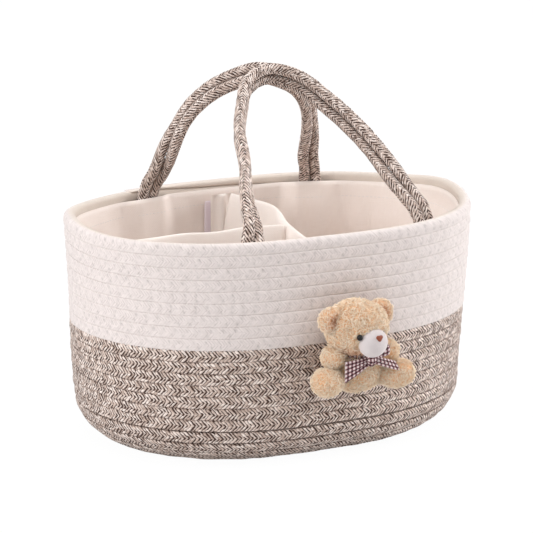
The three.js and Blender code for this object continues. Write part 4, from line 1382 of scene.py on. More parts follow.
@dataclass
class Liner:
    """The canvas that lines the wall and the floor."""

    basket: Basket
    feet: Sequence[tuple[int, float]]
    thickness: float = 1.3
    drop: float = 7.0
    seat: float = 0.3
    bulge_depth: float = 10.4
    bulge_half: float = 10.3
    bulge_slope: float = 9.0
    bulge_narrowing: Triple = (0.7, 140.0, 180.0)
    tail: float = 68.0
    tail_depth: float = 10.3
    foot_angle: float = 6.0
    columns: int = 420
    rows: int = 44
    floor_thickness: float = 3.0
    floor_inset: float = 3.5
    sag_depth: float = 2.2
    crease_depth: float = 0.9
    slack_start: Pair = (30.0, 60.0)
    slack_end: Pair = (160.0, 181.0)
    tape_reach: Pair = (22.0, 40.0)
    tight_depth: float = 0.6
    tight_zone: Pair = (170.0, 181.0)
    bulge_rise: float = 2.4
    rise_zone: Pair = (150.0, 182.0)
    hem_thickness: float = 0.7
    oval_share: float = 0.87
    hem_stitch: float = 3.8
    hem_stitch_size: Triple = (2.6, 0.55, 0.45)

    def bulge(self, where: Array) -> Array:
        """Give how far the liner stands off the wall over the handles' tails.

        Args:
            where: points of the liner.

        Returns:
            A share from 0 to 1 for each point.
        """
        total = np.zeros(where.shape[:-1])
        narrowing, low, high = self.bulge_narrowing
        slope = self.bulge_slope * (2.4 - narrowing * smooth_step(where[..., 2], low, high))
        for side, across in self.feet:
            away = np.abs(where[..., 0] - across) - self.bulge_half
            share = 1 - smooth_step(away, -1, slope)
            total = np.maximum(total, np.where(where[..., 1] * side > 0, share, 0))
        return total

    def wall(self) -> None:
        """Make the liner's wall."""
        basket = self.basket
        angles = basket.angle_of(basket.even_parts(self.columns))
        foot = basket.base_turns + math.radians(self.foot_angle) * basket.corner / basket.pitch
        top = float(basket.level_at(basket.height - self.drop))
        levels = np.linspace(foot, top, self.rows)
        level, angle = levels[None, :], angles[:, None]
        face = basket.rope / 2 + self.seat + self.thickness / 2
        place = basket.points(level, angle, -face)
        start = basket.height - self.tail - self.bulge_slope * 2
        rising = smooth_step(place[..., 2], start, basket.height - self.tail)
        bulge = self.bulge(basket.points(level, angle, -self.tail_depth)) * rising
        sag = Ripple(60.0, 5).share_at(place)
        crease = Ripple(24.0, 6).share_at(place * np.array([1, 1, 0.35]))
        height = place[..., 2]
        free = smooth_step(height, *self.slack_start) * (1 - smooth_step(height, *self.slack_end))
        beside = np.where(np.abs(place[..., 1]) > 80, np.abs(place[..., 0] - 2), 99.0)
        beside = np.where(place[..., 0] < -120, np.abs(place[..., 1] - 1), beside)
        free = free * smooth_step(beside, *self.tape_reach)
        tight = self.tight_depth * smooth_step(height, *self.tight_zone) * (1 - np.clip(4 * bulge, 0, 1))
        slack = (sag * self.sag_depth + crease * self.crease_depth) * free
        inward = face - tight + bulge * self.bulge_depth + slack
        grid = basket.points(level, angle, -inward)
        grid[..., 2] += self.bulge_rise * bulge * smooth_step(height, *self.rise_zone)
        along = round_length(grid[:, -1])
        around = run_length(grid[0])
        piece = cloth("liner_wall_canvas", grid, along, around, self.thickness,
                      dressed(CANVAS), closed=True, hem=self.hem_thickness)
        settle(piece, Body.BASKET, "canvas", "liner_wall")
        self.hem_line = grid[:, -4] - basket.outward(levels[-4], angles) * (self.thickness / 2 + 0.4)
        self.hem_out = -basket.outward(levels[-4], angles)

    def hem(self, tree: StitchTree) -> None:
        """Sew the hem along the liner's top edge.

        Args:
            tree: the tree that lays stitches.
        """
        line = np.vstack([self.hem_line, self.hem_line[:1]])
        row = stitch_line("liner_hem_stitches", line, np.vstack([self.hem_out, self.hem_out[:1]]))
        tree.sew(row, self.hem_stitch, self.hem_stitch_size, 0.0, dressed(WHITE_THREAD))
        settle(row, Body.BASKET, "canvas")

    def floor(self) -> None:
        """Make the liner's floor."""
        basket = self.basket
        angles = basket.angle_of(basket.even_parts(240))
        edge_line = basket.points(basket.base_turns, angles, 0, self.floor_inset)
        rings = [edge_line * np.array([share, share, 0]) for share in np.linspace(0.0005, 1, 26)]
        grid = np.stack(rings, axis=1)
        wave = Ripple(70.0, 8).share_at(grid)
        top = basket.rope + self.seat + self.floor_thickness
        grid[..., 2] = top - 0.9 + wave * 0.8
        edge = np.linspace(0.02, 1, 26)
        grid[..., 2] -= 1.2 * smooth_step(edge, 0.97, 1.0)[None, :]
        low = grid.copy()
        low[..., 2] = basket.rope + self.seat + (self.thickness + 0.3) * smooth_step(edge, 0.85, 0.95)
        rings = np.concatenate([grid, low[:, ::-1]], axis=1)
        around = run_length(grid[0])
        around = np.concatenate([around, around[::-1], around[:1]])
        piece = skin("liner_floor_canvas", rings, round_length(grid[:, -1]), around,
                     dressed(CANVAS), closed=True)
        settle(piece, Body.BASKET, "canvas", "liner_floor")


# The divider

@dataclass
class Divider:
    """The removable padded divider, shaped like a T, with tabs and tapes that stick to the liner."""

    basket: Basket
    bow: Triple = (33.0, 62.0, 173.0)
    junction: Triple = (25.0, 12.0, 168.0)
    rear_root: Pair = (11.0, 178.0)
    front_root: Pair = (14.0, 165.0)
    stem_root: Pair = (1.0, 173.0)
    cross_thickness: float = 8.0
    stem_thickness: float = 7.0
    seam_thickness: float = 4.5
    corner_rise: float = 9.0
    bottom: float = 14.0
    fold_depth: float = 9.0
    tab_thickness: float = 5.0
    tab_folds: float = 2.3
    tape_thickness: float = 1.0
    loop_share: float = 0.74
    sections: int = 72
    columns: int = 30
    strip_sections: int = 60
    strip_sides: int = 28
    strip_corner: float = 4.0

    def panel(self, name: str, line: Array, thickness: Array, bottom: Array, lean: Array,
              fold_depth: float = 0.0) -> Piece:
        """Make a padded panel along a line in plan.

        Args:
            name: name of the piece.
            line: x, y and top height of each section.
            thickness: of each section.
            bottom: lower edge of each section.
            lean: shift along X with height, for each section.
            fold_depth: how far its first end is drawn to the left below the top.

        Returns:
            The piece.
        """
        plan = line[:, :2]
        along = unit(np.gradient(plan, axis=0))
        across = np.stack([-along[:, 1], along[:, 0], np.zeros(len(along))], axis=1)
        share = (1 - np.cos(np.linspace(0, 1, self.columns) * math.pi)) / 2
        swell = np.maximum(0, 1 - np.abs(2 * share - 1) ** 7) ** 0.45
        half = thickness[:, None] / 2 * swell[None, :] + 0.7 * (1 - swell)[None, :]
        height = bottom[:, None] + (line[:, 2] - bottom)[:, None] * share[None, :]
        share_along = np.linspace(0, 1, len(plan))[:, None]
        fold = -fold_depth * (1 - np.exp((height - line[:, 2:]) / 25)) * bell(share_along, 0, 0.14)
        x = plan[:, :1] + lean[:, None] * (height - self.basket.base_corner) + fold
        middle = np.stack([x, np.broadcast_to(plan[:, 1:], height.shape), height], axis=-1)
        puff = Ripple(34.0, 21).at(middle) * 0.5 + Ripple(13.0, 22).at(middle) * 0.22
        free = np.clip((thickness - self.seam_thickness) / 2, 0, 1)[:, None] * swell[None, :]
        half = half + puff * free
        sway = Ripple(55.0, 23).at(middle) * 1.1 * free
        front = middle + across[:, None, :] * (sway + half)[..., None]
        back = middle + across[:, None, :] * (sway - half)[..., None]
        rings = np.concatenate([front, back[:, ::-1]], axis=1)
        length = run_length(plan)
        rise = run_length(middle[len(middle) // 2])
        around = np.concatenate([rise, rise[-1] * 2 - rise[::-1], rise[-1:] * 2])
        return skin(name, rings, length, around, dressed(PAD_CANVAS))

    def panel_thickness(self, full: float, from_end: Array) -> Array:
        """Give a panel's thickness along it, which falls off to the seams at its ends."""
        thickness = self.seam_thickness + (full - self.seam_thickness) * np.minimum(1, from_end * 2)
        return thickness * (0.55 + 0.45 * smooth_step(from_end, 0, 0.03))

    def finish_pad(self, piece: Piece, node: str) -> None:
        """Settle a padded piece of the divider."""
        settle(piece, Body.DIVIDER, "canvas", node)

    def cross_panel(self) -> None:
        """Make the panel from the rear wall to the front wall."""
        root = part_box("divider_cross_panel")[1][1] / MILLIMETRE
        route = evenly(spline([
            (self.rear_root[0], root, self.rear_root[1]), self.bow, self.junction,
            (self.front_root[0], -root, self.front_root[1])]), self.sections)
        share = np.linspace(0, 1, self.sections)
        from_end = np.minimum(share, 1 - share) * 2
        bottom = self.bottom + self.corner_rise * np.maximum(0, 1 - from_end * 4) ** 2
        thickness = self.panel_thickness(self.cross_thickness, from_end)
        route[:, 2] += 0.8 * Ripple(45.0, 24).at(route * np.array([1, 1, 0]))
        upright = np.zeros(self.sections)
        piece = self.panel("divider_cross_pad", route, thickness, bottom, upright, self.fold_depth)
        self.finish_pad(piece, "divider_cross_panel")

    def stem_panel(self) -> None:
        """Make the panel from the middle of the cross panel to the left end wall."""
        low, high = (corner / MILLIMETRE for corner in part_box("divider_stem_panel"))
        basket = self.basket
        slope = -(basket.rim_half_length - basket.base_half_length) / (basket.height - basket.base_corner)
        end = low[0] - slope * (self.stem_root[1] - basket.base_corner)
        share = np.linspace(0, 1, self.sections)
        _, root, start_height = self.junction
        line = np.stack([
            high[0] + (end - high[0]) * share, root + (self.stem_root[0] - root) * share,
            start_height + (self.stem_root[1] - start_height) * np.sqrt(share)], axis=1)
        line[:, 2] += 0.9 * Ripple(50.0, 25).at(line * np.array([1, 1, 0]))
        from_end = np.minimum(share, 1 - share) * 2
        bottom = self.bottom + self.corner_rise * np.maximum(0, 1 - from_end * 3) ** 2 * (share > 0.5)
        thickness = self.panel_thickness(self.stem_thickness, from_end)
        piece = self.panel("divider_stem_pad", line, thickness, bottom, slope * share)
        self.finish_pad(piece, "divider_stem_panel")

    def strip(self, name: str, foot: Array, top: Array, wide: Array, width: float, thickness: float,
              finish: CanvasFinish, fullness: float = 2.6, folds: float = 0.0) -> Piece:
        """Make an upright strip with round edges and ends.

        Args:
            name: name of the piece.
            foot: middle of its lower end.
            top: middle of its upper end.
            wide: the way across it.
            width: of the strip.
            thickness: of the strip.
            finish: its cloth.
            fullness: 2 gives an oval section, and more a squarer one.
            folds: depth of the upright folds on the side that faces the middle of the basket.

        Returns:
            The piece.
        """
        through = unit(np.cross(wide, top - foot))
        length = float(np.linalg.norm(top - foot))
        share = (1 - np.cos(np.linspace(0, 1, self.strip_sections) * math.pi)) / 2
        from_end = np.minimum(share, 1 - share) * length
        end = np.sqrt(np.clip(1 - (1 - np.clip(from_end / (thickness / 2 + 1), 0, 1)) ** 2, 0.02, 1))
        corner = np.clip(from_end / self.strip_corner, 0, 1)
        corner = 1 - 0.14 * (1 - np.sqrt(1 - (1 - corner) ** 2))
        angle = np.arange(self.strip_sides) / self.strip_sides * FULL_TURN
        power = 2 / fullness
        out, back = eased(np.cos(angle), power), eased(np.sin(angle), power)
        middle = foot + (top - foot) * share[:, None]
        wave = Ripple(30.0, 31).at(middle) * 0.05 * thickness
        rings = (middle[:, None, :] + wide * (out * width / 2)[None, :, None] * corner[:, None, None]
                 + through * (back * thickness / 2)[None, :, None] * end[:, None, None]
                 + through * wave[:, None, None])
        inner = np.sign(-float(through @ (foot * np.array([1, 1, 0]))))
        slope = np.sin(out[None, :] * 4.4 + 0.9 + 0.5 * share[:, None])
        face = np.maximum(0, back * inner)[None, :] * end[:, None] * corner[:, None]
        rings += through * inner * (folds * (slope - 1) * face)[..., None]
        around = round_length(rings[self.strip_sections // 2])
        return skin(name, rings, share * length, around, dressed(finish))

    def upright(self, node: str, thickness: float) -> tuple[Array, Array, Array, float]:
        """Read where an upright strip stands from its plain solid.

        Args:
            node: the solid.
            thickness: of the strip.

        Returns:
            The middle of its foot and of its top, the way across it, and its width.
        """
        low, high = (np.array(corner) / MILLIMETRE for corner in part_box(node))
        thin = 0 if "stem" in node or "end" in node else 1
        wide = 1 - thin
        foot, top = (low + high) / 2, (low + high) / 2
        foot[2], top[2] = low[2], high[2]
        lean = (high[thin] - low[thin] - thickness) / 2
        outer = 1.0 if thin == 0 else math.copysign(1.0, foot[1])
        foot[thin] += outer * lean
        top[thin] -= outer * lean
        across = np.zeros(3)
        across[wide] = 1.0
        return foot, top, across, high[wide] - low[wide]

    def tabs(self) -> None:
        """Make the three padded tabs."""
        for place in ("rear", "front", "stem"):
            node = f"divider_{place}_tab"
            foot, top, across, width = self.upright(node, self.tab_thickness)
            piece = self.strip(f"divider_{place}_tab_pad", foot, top, across, width, self.tab_thickness,
                               PAD_CANVAS, 2.2, self.tab_folds)
            self.finish_pad(piece, node)

    def tapes(self) -> None:
        """Make the hook tapes on the tabs and the loop tapes on the liner."""
        for place in ("rear", "front", "end"):
            for kind, body in (("hook", Body.DIVIDER), ("loop", Body.BASKET)):
                node = f"{place}_{kind}_tape"
                foot, top, across, width = self.upright(node, self.tape_thickness)
                if node == "rear_loop_tape":
                    width *= self.loop_share
                    shift = across * width * (1 / self.loop_share - 1) / 2
                    foot, top = foot + shift, top + shift
                piece = self.strip(f"{node}_strip", foot, top, across, width,
                                   self.tape_thickness, TAPE, 6.0)
                settle(piece, body, "tape", node)

    def build(self) -> None:
        """Make the whole divider."""
        self.cross_panel()
        self.stem_panel()
        self.tabs()
        self.tapes()


# The bear

def clear_of(points: Array, centre: Sequence[float], radii: Sequence[float], gap: float) -> Array:
    """Press points that lie inside a ball out to its surface.

    Args:
        points: the points.
        centre: middle of the ball.
        radii: of the ball.
        gap: distance that is kept.

    Returns:
        The pressed points.
    """
    centre, radii = np.asarray(centre, float), np.asarray(radii, float) + gap
    local = (points - centre) / radii
    length = np.linalg.norm(local, axis=-1, keepdims=True)
    return centre + local * radii / np.minimum(1, np.maximum(length, 0.05))


@dataclass
class Bear:
    """The plush bear on the front wall, in its own frame: -y points away from the wall."""

    basket: Basket
    offset: float = 11.0
    body_radii: Triple = (21.0, 18.5, 23.0)
    body_centre: Triple = (0.0, -18.0, 82.0)
    head_radii: Triple = (25.5, 21.0, 24.0)
    head_centre: Triple = (-3.0, -25.0, 120.5)
    head_turn: float = 10.0
    ear: Triple = (10.6, 7.5, 9.8)
    ear_place: Pair = (24.2, 7.4)
    eye_place: Triple = (11.0, 1.3, -4.6)
    eye_radius: float = 2.5
    muzzle_radii: Triple = (13.0, 9.5, 12.0)
    muzzle_place: Triple = (2.5, 19.5, -11.0)
    nose_radii: Triple = (3.0, 1.4, 2.7)
    nose_place: Pair = (8.6, 5.5)
    arm: tuple[Triple, ...] = ((13.0, 20.0, 100.0), (32.0, 30.0, 94.0))
    arm_radii: Pair = (7.8, 8.9)
    leg: tuple[Triple, ...] = ((14.0, 21.0, 75.5), (43.5, 36.0, 79.0))
    leg_radii: Pair = (8.0, 11.3)
    ribbon_middle: Triple = (1.0, -22.0, 100.0)
    ribbon_up: Triple = (0.152, -0.242, 0.958)
    ribbon_reach: float = 27.0
    ribbon_zone: Pair = (3.2, 4.6)
    ribbon_start: Pair = (0.0, 4.0)
    eye_zone: Pair = (3.0, 4.0)
    pile_start: float = 1.5
    wall_gap: float = 1.5
    curl: float = 1.5
    curl_distance: float = 0.84
    seed: int = 3

    def __post_init__(self) -> None:
        """Work out how the wall leans, and where the bear's frame stands."""
        run, rise = self.basket.bottom - self.basket.top
        self.lean = math.atan2(run, -rise)
        low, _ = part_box("bear_head")
        self.seat = self.head_seat(low[1] / MILLIMETRE)
        self.curls = CurlTree()

    def head_seat(self, front: float) -> float:
        """Find the frame's place along Y from the front of the head's solid."""
        reach = self.head_centre[1] - self.head_radii[1] * 0.985
        return front - reach * math.cos(self.lean) - self.head_centre[2] * math.sin(self.lean)

    def to_world(self, points: Array) -> Array:
        """Bring points from the bear's frame to the basket's."""
        cosine, sine = math.cos(self.lean), math.sin(self.lean)
        x, y, z = points[..., 0] + self.offset, points[..., 1], points[..., 2]
        return np.stack([x, y * cosine + z * sine + self.seat, z * cosine - y * sine], axis=-1)

    def turned(self, points: Array) -> Array:
        """Turn directions with the head."""
        turn = math.radians(self.head_turn)
        cosine, sine = math.cos(turn), math.sin(turn)
        x, y, z = points[..., 0], points[..., 1], points[..., 2]
        return np.stack([x * cosine - y * sine, x * sine + y * cosine, z], axis=-1)

    def on_head(self, across: float, out: float, up: float) -> Array:
        """Give a place on the head, counted from its middle before it is turned."""
        return np.array(self.head_centre) + self.turned(np.array([across, -out, up]))

    def plush(self, name: str, shape: Shape, fill: float = 0.8, recess_shade: Optional[Shape] = None,
              detail: int = 5) -> None:
        """Make a stuffed piece with its pile.

        Args:
            name: name of the plain solid.
            shape: takes directions and gives points in the bear's frame.
            fill: not used.
            recess_shade: takes points in the bear's frame and gives how much painted shade, darker and
                warmer, the pile gets there.
            detail: how often the ball's faces are divided.
        """
        kept = {}

        def placed(directions: Array) -> Array:
            """Shape the piece, press it flat on the wall and bring it to its place."""
            points = shape(directions)
            free = points[:, 1] < -self.wall_gap
            points[:, 1] = np.minimum(points[:, 1], -self.wall_gap)
            from_ribbon = points - np.array(self.ribbon_middle)
            beside = np.abs(from_ribbon @ np.array(self.ribbon_up))
            near = np.linalg.norm(from_ribbon, axis=1) < self.ribbon_reach
            bare = (1 - smooth_step(beside, *self.ribbon_zone)) * near
            bare = bare * smooth_step(points[:, 0], *self.ribbon_start)
            for side in Side:
                from_eye = np.linalg.norm(points - self.eye_centre(side), axis=1)
                bare = np.maximum(bare, 1 - smooth_step(from_eye, *self.eye_zone))
            pile = smooth_step(-points[:, 1], self.wall_gap, self.wall_gap + self.pile_start)
            kept["pile"] = pile * free * (1 - bare)
            # Painted shade in recesses, darker and warmer, at each point.
            kept["recess_shade"] = recess_shade(points) if recess_shade else np.zeros(len(points))
            return self.to_world(points)

        material = dressed(PLUSH)
        skin_piece = stuffed(f"{name}_skin", placed, material, detail)
        for label, values in kept.items():
            point_values(skin_piece, label, values)
        pile = put_in_scene(bpy.data.objects.new(f"{name}_pile", skin_piece.data.copy()))
        self.seed += 1
        self.curls.put_on(pile, {
            "Distance": self.curl_distance * MILLIMETRE, "Curl": self.curl * MILLIMETRE,
            "Seed": self.seed, "Material": material})
        settle(skin_piece, Body.BASKET, "plush", name)
        settle(pile, Body.BASKET, "plush")

    def ball(self, centre: Sequence[float], radii: Sequence[float],
             presses: Sequence[tuple[Sequence[float], Sequence[float]]] = (),
             crown: float = 1.0, seat: float = 1.0) -> Shape:
        """Give the shape of a ball that others press into.

        Args:
            centre: its middle.
            radii: of the ball.
            presses: middle and radii of each ball that presses into it.
            crown: how high its upper half is, against the radius.
            seat: how high its lower half is.

        Returns:
            The shape.
        """
        def shape(directions: Array) -> Array:
            """Place the ball's points."""
            lump = 1 + 0.02 * Ripple(0.9, 41).at(directions) + 0.018 * Ripple(0.3, 42).at(directions)
            local = directions * np.asarray(radii, float) * lump[:, None]
            local[:, 2] *= np.where(local[:, 2] > 0, crown, seat)
            points = np.asarray(centre, float) + local
            for other, other_radii in presses:
                points = clear_of(points, other, other_radii, 0.4)
            return points
        return shape

    def limb(self, side: Side, ends: Sequence[Triple], radii: Pair) -> Shape:
        """Give the shape of a limb that swells to a round end.

        Args:
            side: which limb.
            ends: its start and its end, counted outwards from the bear's middle.
            radii: at its start and at its end.

        Returns:
            The shape.
        """
        start, end = (np.array([place[0] * side.value, -place[1], place[2]]) for place in ends)
        way = unit(end - start)
        length = float(np.linalg.norm(end - start))
        first = unit(np.cross(way, [0.0, 0.0, 1.0]))
        second = np.cross(first, way)

        def shape(directions: Array) -> Array:
            """Place the limb's points."""
            share = (1 + directions[:, 2]) / 2
            girth = np.sqrt(np.clip(1 - directions[:, 2] ** 2, 0, 1)) ** 0.8
            radius = (radii[0] + (radii[1] - radii[0]) * smooth_step(share, 0.1, 0.7)) * girth
            flat = unit(directions * np.array([1, 1, 0]) + TINY)
            points = start + way * (share * length)[:, None]
            points = points + first * (flat[:, 0] * radius)[:, None]
            points = points + second * (flat[:, 1] * radius)[:, None]
            points = clear_of(points, self.body_centre, self.body_radii, 0.4)
            return clear_of(points, self.head_centre, self.head_radii, 0.4)
        return shape

    def ear_shape(self, side: Side) -> Shape:
        """Give the shape of an ear, hollow in front."""
        centre = self.on_head(side.value * self.ear_place[0], 0.0, self.ear_place[1])

        def shape(directions: Array) -> Array:
            """Place the ear's points."""
            reach = np.hypot(directions[:, 0], directions[:, 2])
            hollow = np.where(directions[:, 1] < 0, 4.2 * bell(reach, 0, 0.5), 0)
            points = directions * np.array(self.ear)
            points[:, 1] += hollow
            return clear_of(self.turned(points) + centre, self.head_centre, self.head_radii, 0.2)
        return shape

    def build(self) -> None:
        """Make the whole bear."""
        head, head_radii = self.head_centre, self.head_radii
        body, body_radii = self.body_centre, self.body_radii

        def under_chin_shade(points: Array) -> Array:
            """Paint shade, darker and warmer, on the pile under the chin, where the head meets the body."""
            return bell(points[:, 2], self.ribbon_middle[2], 5)

        self.plush("bear_head", self.ball(head, head_radii, crown=0.84),
                   recess_shade=lambda points: 0.6 * under_chin_shade(points))
        self.plush("bear_body", self.ball(body, body_radii, [(head, head_radii)], seat=0.78),
                   recess_shade=lambda points: 0.5 * under_chin_shade(points))
        for side in Side:
            label = side.name.lower()
            self.plush(f"bear_{label}_arm", self.limb(side, self.arm, self.arm_radii), detail=4)
            self.plush(f"bear_{label}_leg", self.limb(side, self.leg, self.leg_radii), detail=4)
            centre = self.on_head(side.value * self.ear_place[0], 0.0, self.ear_place[1])

            def inside(points: Array, middle: Array = centre) -> Array:
                """Paint shade, darker and warmer, in the hollow of the ear."""
                away = np.linalg.norm((points - middle) * np.array([1, 0.4, 1]), axis=1)
                return 1.1 * bell(away, 0, 5.5)

            self.plush(f"bear_{label}_ear", self.ear_shape(side), recess_shade=inside, detail=4)
            self.eye(side)
        self.muzzle()
        self.nose()

    def eye_centre(self, side: Side) -> Array:
        """Give the middle of an eye."""
        across, _, up = self.eye_place
        wide, deep, tall = self.head_radii
        out = deep * math.sqrt(1 - (across / wide) ** 2 - (up / tall) ** 2)
        return self.on_head(side.value * across, out + self.eye_place[1], up)

    def eye(self, side: Side) -> None:
        """Sew on a bead eye."""
        centre = self.eye_centre(side)
        piece = stuffed(f"bear_{side.name.lower()}_bead",
                        lambda ways: self.to_world(centre + ways * self.eye_radius),
                        dressed(EYE_BEAD), 3)
        settle(piece, Body.BASKET, "eye", f"bear_{side.name.lower()}_eye")

    def muzzle(self) -> None:
        """Make the white muzzle."""
        centre = self.on_head(*self.muzzle_place)

        def shape(directions: Array) -> Array:
            """Place the muzzle's points."""
            points = centre + self.turned(directions * np.array(self.muzzle_radii))
            return self.to_world(clear_of(points, self.head_centre, self.head_radii, 0.2))

        piece = stuffed("bear_muzzle_pad", shape, dressed(MUZZLE))
        settle(piece, Body.BASKET, "muzzle", "bear_muzzle")

    def nose(self) -> None:
        """Sew the nose: a small triangle with round corners."""
        across, out, up = self.muzzle_place
        centre = self.on_head(across, out + self.nose_place[0], up + self.nose_place[1])

        def shape(directions: Array) -> Array:
            """Place the nose's points."""
            angle = np.arctan2(directions[:, 2], directions[:, 0])
            reach = 1 + 0.16 * np.cos(3 * (angle + math.pi / 2))
            points = directions * np.array(self.nose_radii)
            points[:, 0] *= reach
            points[:, 2] *= reach
            return self.to_world(centre + self.turned(points))

        piece = stuffed("bear_nose_satin", shape, dressed(NOSE_SATIN), 4)
        settle(piece, Body.BASKET, "nose", "bear_nose")


@dataclass
class Bow:
    """The gingham ribbon round the bear's neck, with its knot and two ends."""

    bear: Bear
    width: float = 8.0
    thickness: float = 0.9
    collar_radii: Pair = (21.0, 16.5)
    collar_width: float = 10.2
    strap_place: Pair = (-55.0, 22.0)
    sinks: tuple[Triple, ...] = ((0.2, -128.0, 36.0), (0.28, -2.0, 26.0))
    tilt: float = 14.0
    roll: float = 9.0
    knot_radii: Triple = (4.2, 3.8, 5.6)
    knot: Triple = (3.8, -38.5, 94.5)
    reach: float = 24.0
    root_half: float = 4.6
    least_width: float = 12.0
    knot_girth: float = 30.6

    def collar(self) -> None:
        """Lay the ribbon round the neck."""
        count = 96
        angle = np.arange(count) / count * FULL_TURN
        up = np.linspace(-self.width / 2, self.width / 2, 9)
        fold = 0.25 * np.cos(up / 1.6)
        turned = (np.degrees(angle) + 180) % 360 - 180
        strap = bell(turned, *self.strap_place)[:, None]
        sunk = 1.0
        for depth, middle, width in self.sinks:
            sunk = sunk - depth * bell(turned, middle, width)[:, None]
        x = (self.collar_radii[0] - 0.6 + fold[None, :]) * np.cos(angle)[:, None] * sunk + 6.0 * strap
        y = (self.collar_radii[1] - 0.6 + fold[None, :]) * np.sin(angle)[:, None] * sunk
        z = np.broadcast_to(up, x.shape)
        tilt, roll = math.radians(self.tilt), -math.radians(self.roll)
        y, z = y * math.cos(tilt) - z * math.sin(tilt), y * math.sin(tilt) + z * math.cos(tilt)
        x, z = x * math.cos(roll) + z * math.sin(roll), -x * math.sin(roll) + z * math.cos(roll)
        bear = self.bear
        points = np.stack([x, y, z], axis=-1) + np.array(bear.ribbon_middle)
        points = clear_of(points, bear.head_centre, bear.head_radii, 0.3)
        points = clear_of(points, bear.body_centre, bear.body_radii, 0.3)
        points[..., 1] -= 6.0 * strap
        points[..., 2] += 1.0 * strap
        points[..., 1] = np.minimum(points[..., 1], -bear.wall_gap - 0.6)
        grid = bear.to_world(points)
        along = round_length(grid[:, 4])
        piece = cloth("bear_neck_gingham", grid, along, up, self.thickness, dressed(GINGHAM), closed=True)
        settle(piece, Body.BASKET, "ribbon", "bear_neck_ribbon")

    def tail(self, side: Side, ends: Pair, slant: float, drop: float) -> None:
        """Lay one end of the ribbon, gathered at the knot.

        Args:
            side: which end.
            ends: heights of its upper and lower corner.
            slant: how much further the lower corner reaches.
            drop: how far its root lies above the knot's middle.
        """
        share = np.linspace(0, 1, 30)[:, None]
        down = np.linspace(0, 1, 17)[None, :]
        root_reach = self.knot_radii[0] - self.root_half / 2
        root = self.knot[0] + side.value * root_reach
        reach = self.reach + slant * (down - 0.5)
        x = root + side.value * share * (reach - root_reach)
        high = (self.knot[2] + drop + self.root_half * 0.8) * (1 - share) + ends[0] * share
        low = (self.knot[2] + drop - self.root_half * 0.8) * (1 - share) + ends[1] * share
        z = high + (low - high) * down
        pleat = 1.3 * (1 - share) ** 1.2 * np.cos(down * 3 * FULL_TURN)
        pleat = pleat + 0.7 * np.sin(share * 3.1 + down * 2.0)
        y = self.knot[1] - 1.4 * np.sin(share * math.pi) + pleat * 0.7 - 0.4
        points = np.stack(np.broadcast_arrays(x, y, z), axis=-1)
        grid = self.bear.to_world(points)
        length = run_length(grid[:, 8])
        width = abs(ends[0] - ends[1])
        around = np.linspace(0, width, 17)
        piece = cloth(f"bear_bow_{side.name.lower()}_gingham", grid, length, around, self.thickness,
                      dressed(GINGHAM))
        settle(piece, Body.BASKET, "ribbon", f"bear_bow_{side.name.lower()}_tail")

    def knot_piece(self) -> None:
        """Tie the knot, with folds across it."""
        share = np.linspace(-1, 1, 25)
        angle = np.arange(40) / 40 * FULL_TURN
        swell = np.sqrt(np.clip(1 - share ** 2, 0.003, 1)) ** 0.7
        fold = 1 + 0.09 * np.cos(angle * 7 + 0.6)
        rings = np.stack([
            np.broadcast_to((share * self.knot_radii[0])[:, None], (25, 40)),
            self.knot_radii[1] * swell[:, None] * (fold * np.cos(angle))[None, :],
            self.knot_radii[2] * swell[:, None] * (fold * np.sin(angle))[None, :]], axis=-1)
        rings = self.bear.to_world(rings + np.array(self.knot))
        around = np.linspace(0, self.knot_girth, 41)
        piece = skin("bear_bow_knot_gingham", rings, (share + 1) * self.knot_radii[0] * 1.2, around,
                     dressed(GINGHAM))
        settle(piece, Body.BASKET, "ribbon", "bear_bow_knot")

    def build(self) -> None:
        """Tie the whole bow."""
        self.collar()
        self.tail(Side.LEFT, (95.0, 77.5), 1.0, -1.5)
        self.tail(Side.RIGHT, (90.5, 81.5), 5.0, 0.0)
        self.knot_piece()


# The studio

def seen(work: NodeWork) -> Socket:
    """Give 1 for a ray from the camera, straight or by way of gloss or glass, and 0 for any other."""
    path = work.node("ShaderNodeLightPath").outputs
    straight = work.math("MAXIMUM", path["Is Camera Ray"], path["Is Glossy Ray"])
    return work.math("MAXIMUM", straight, path["Is Transmission Ray"])


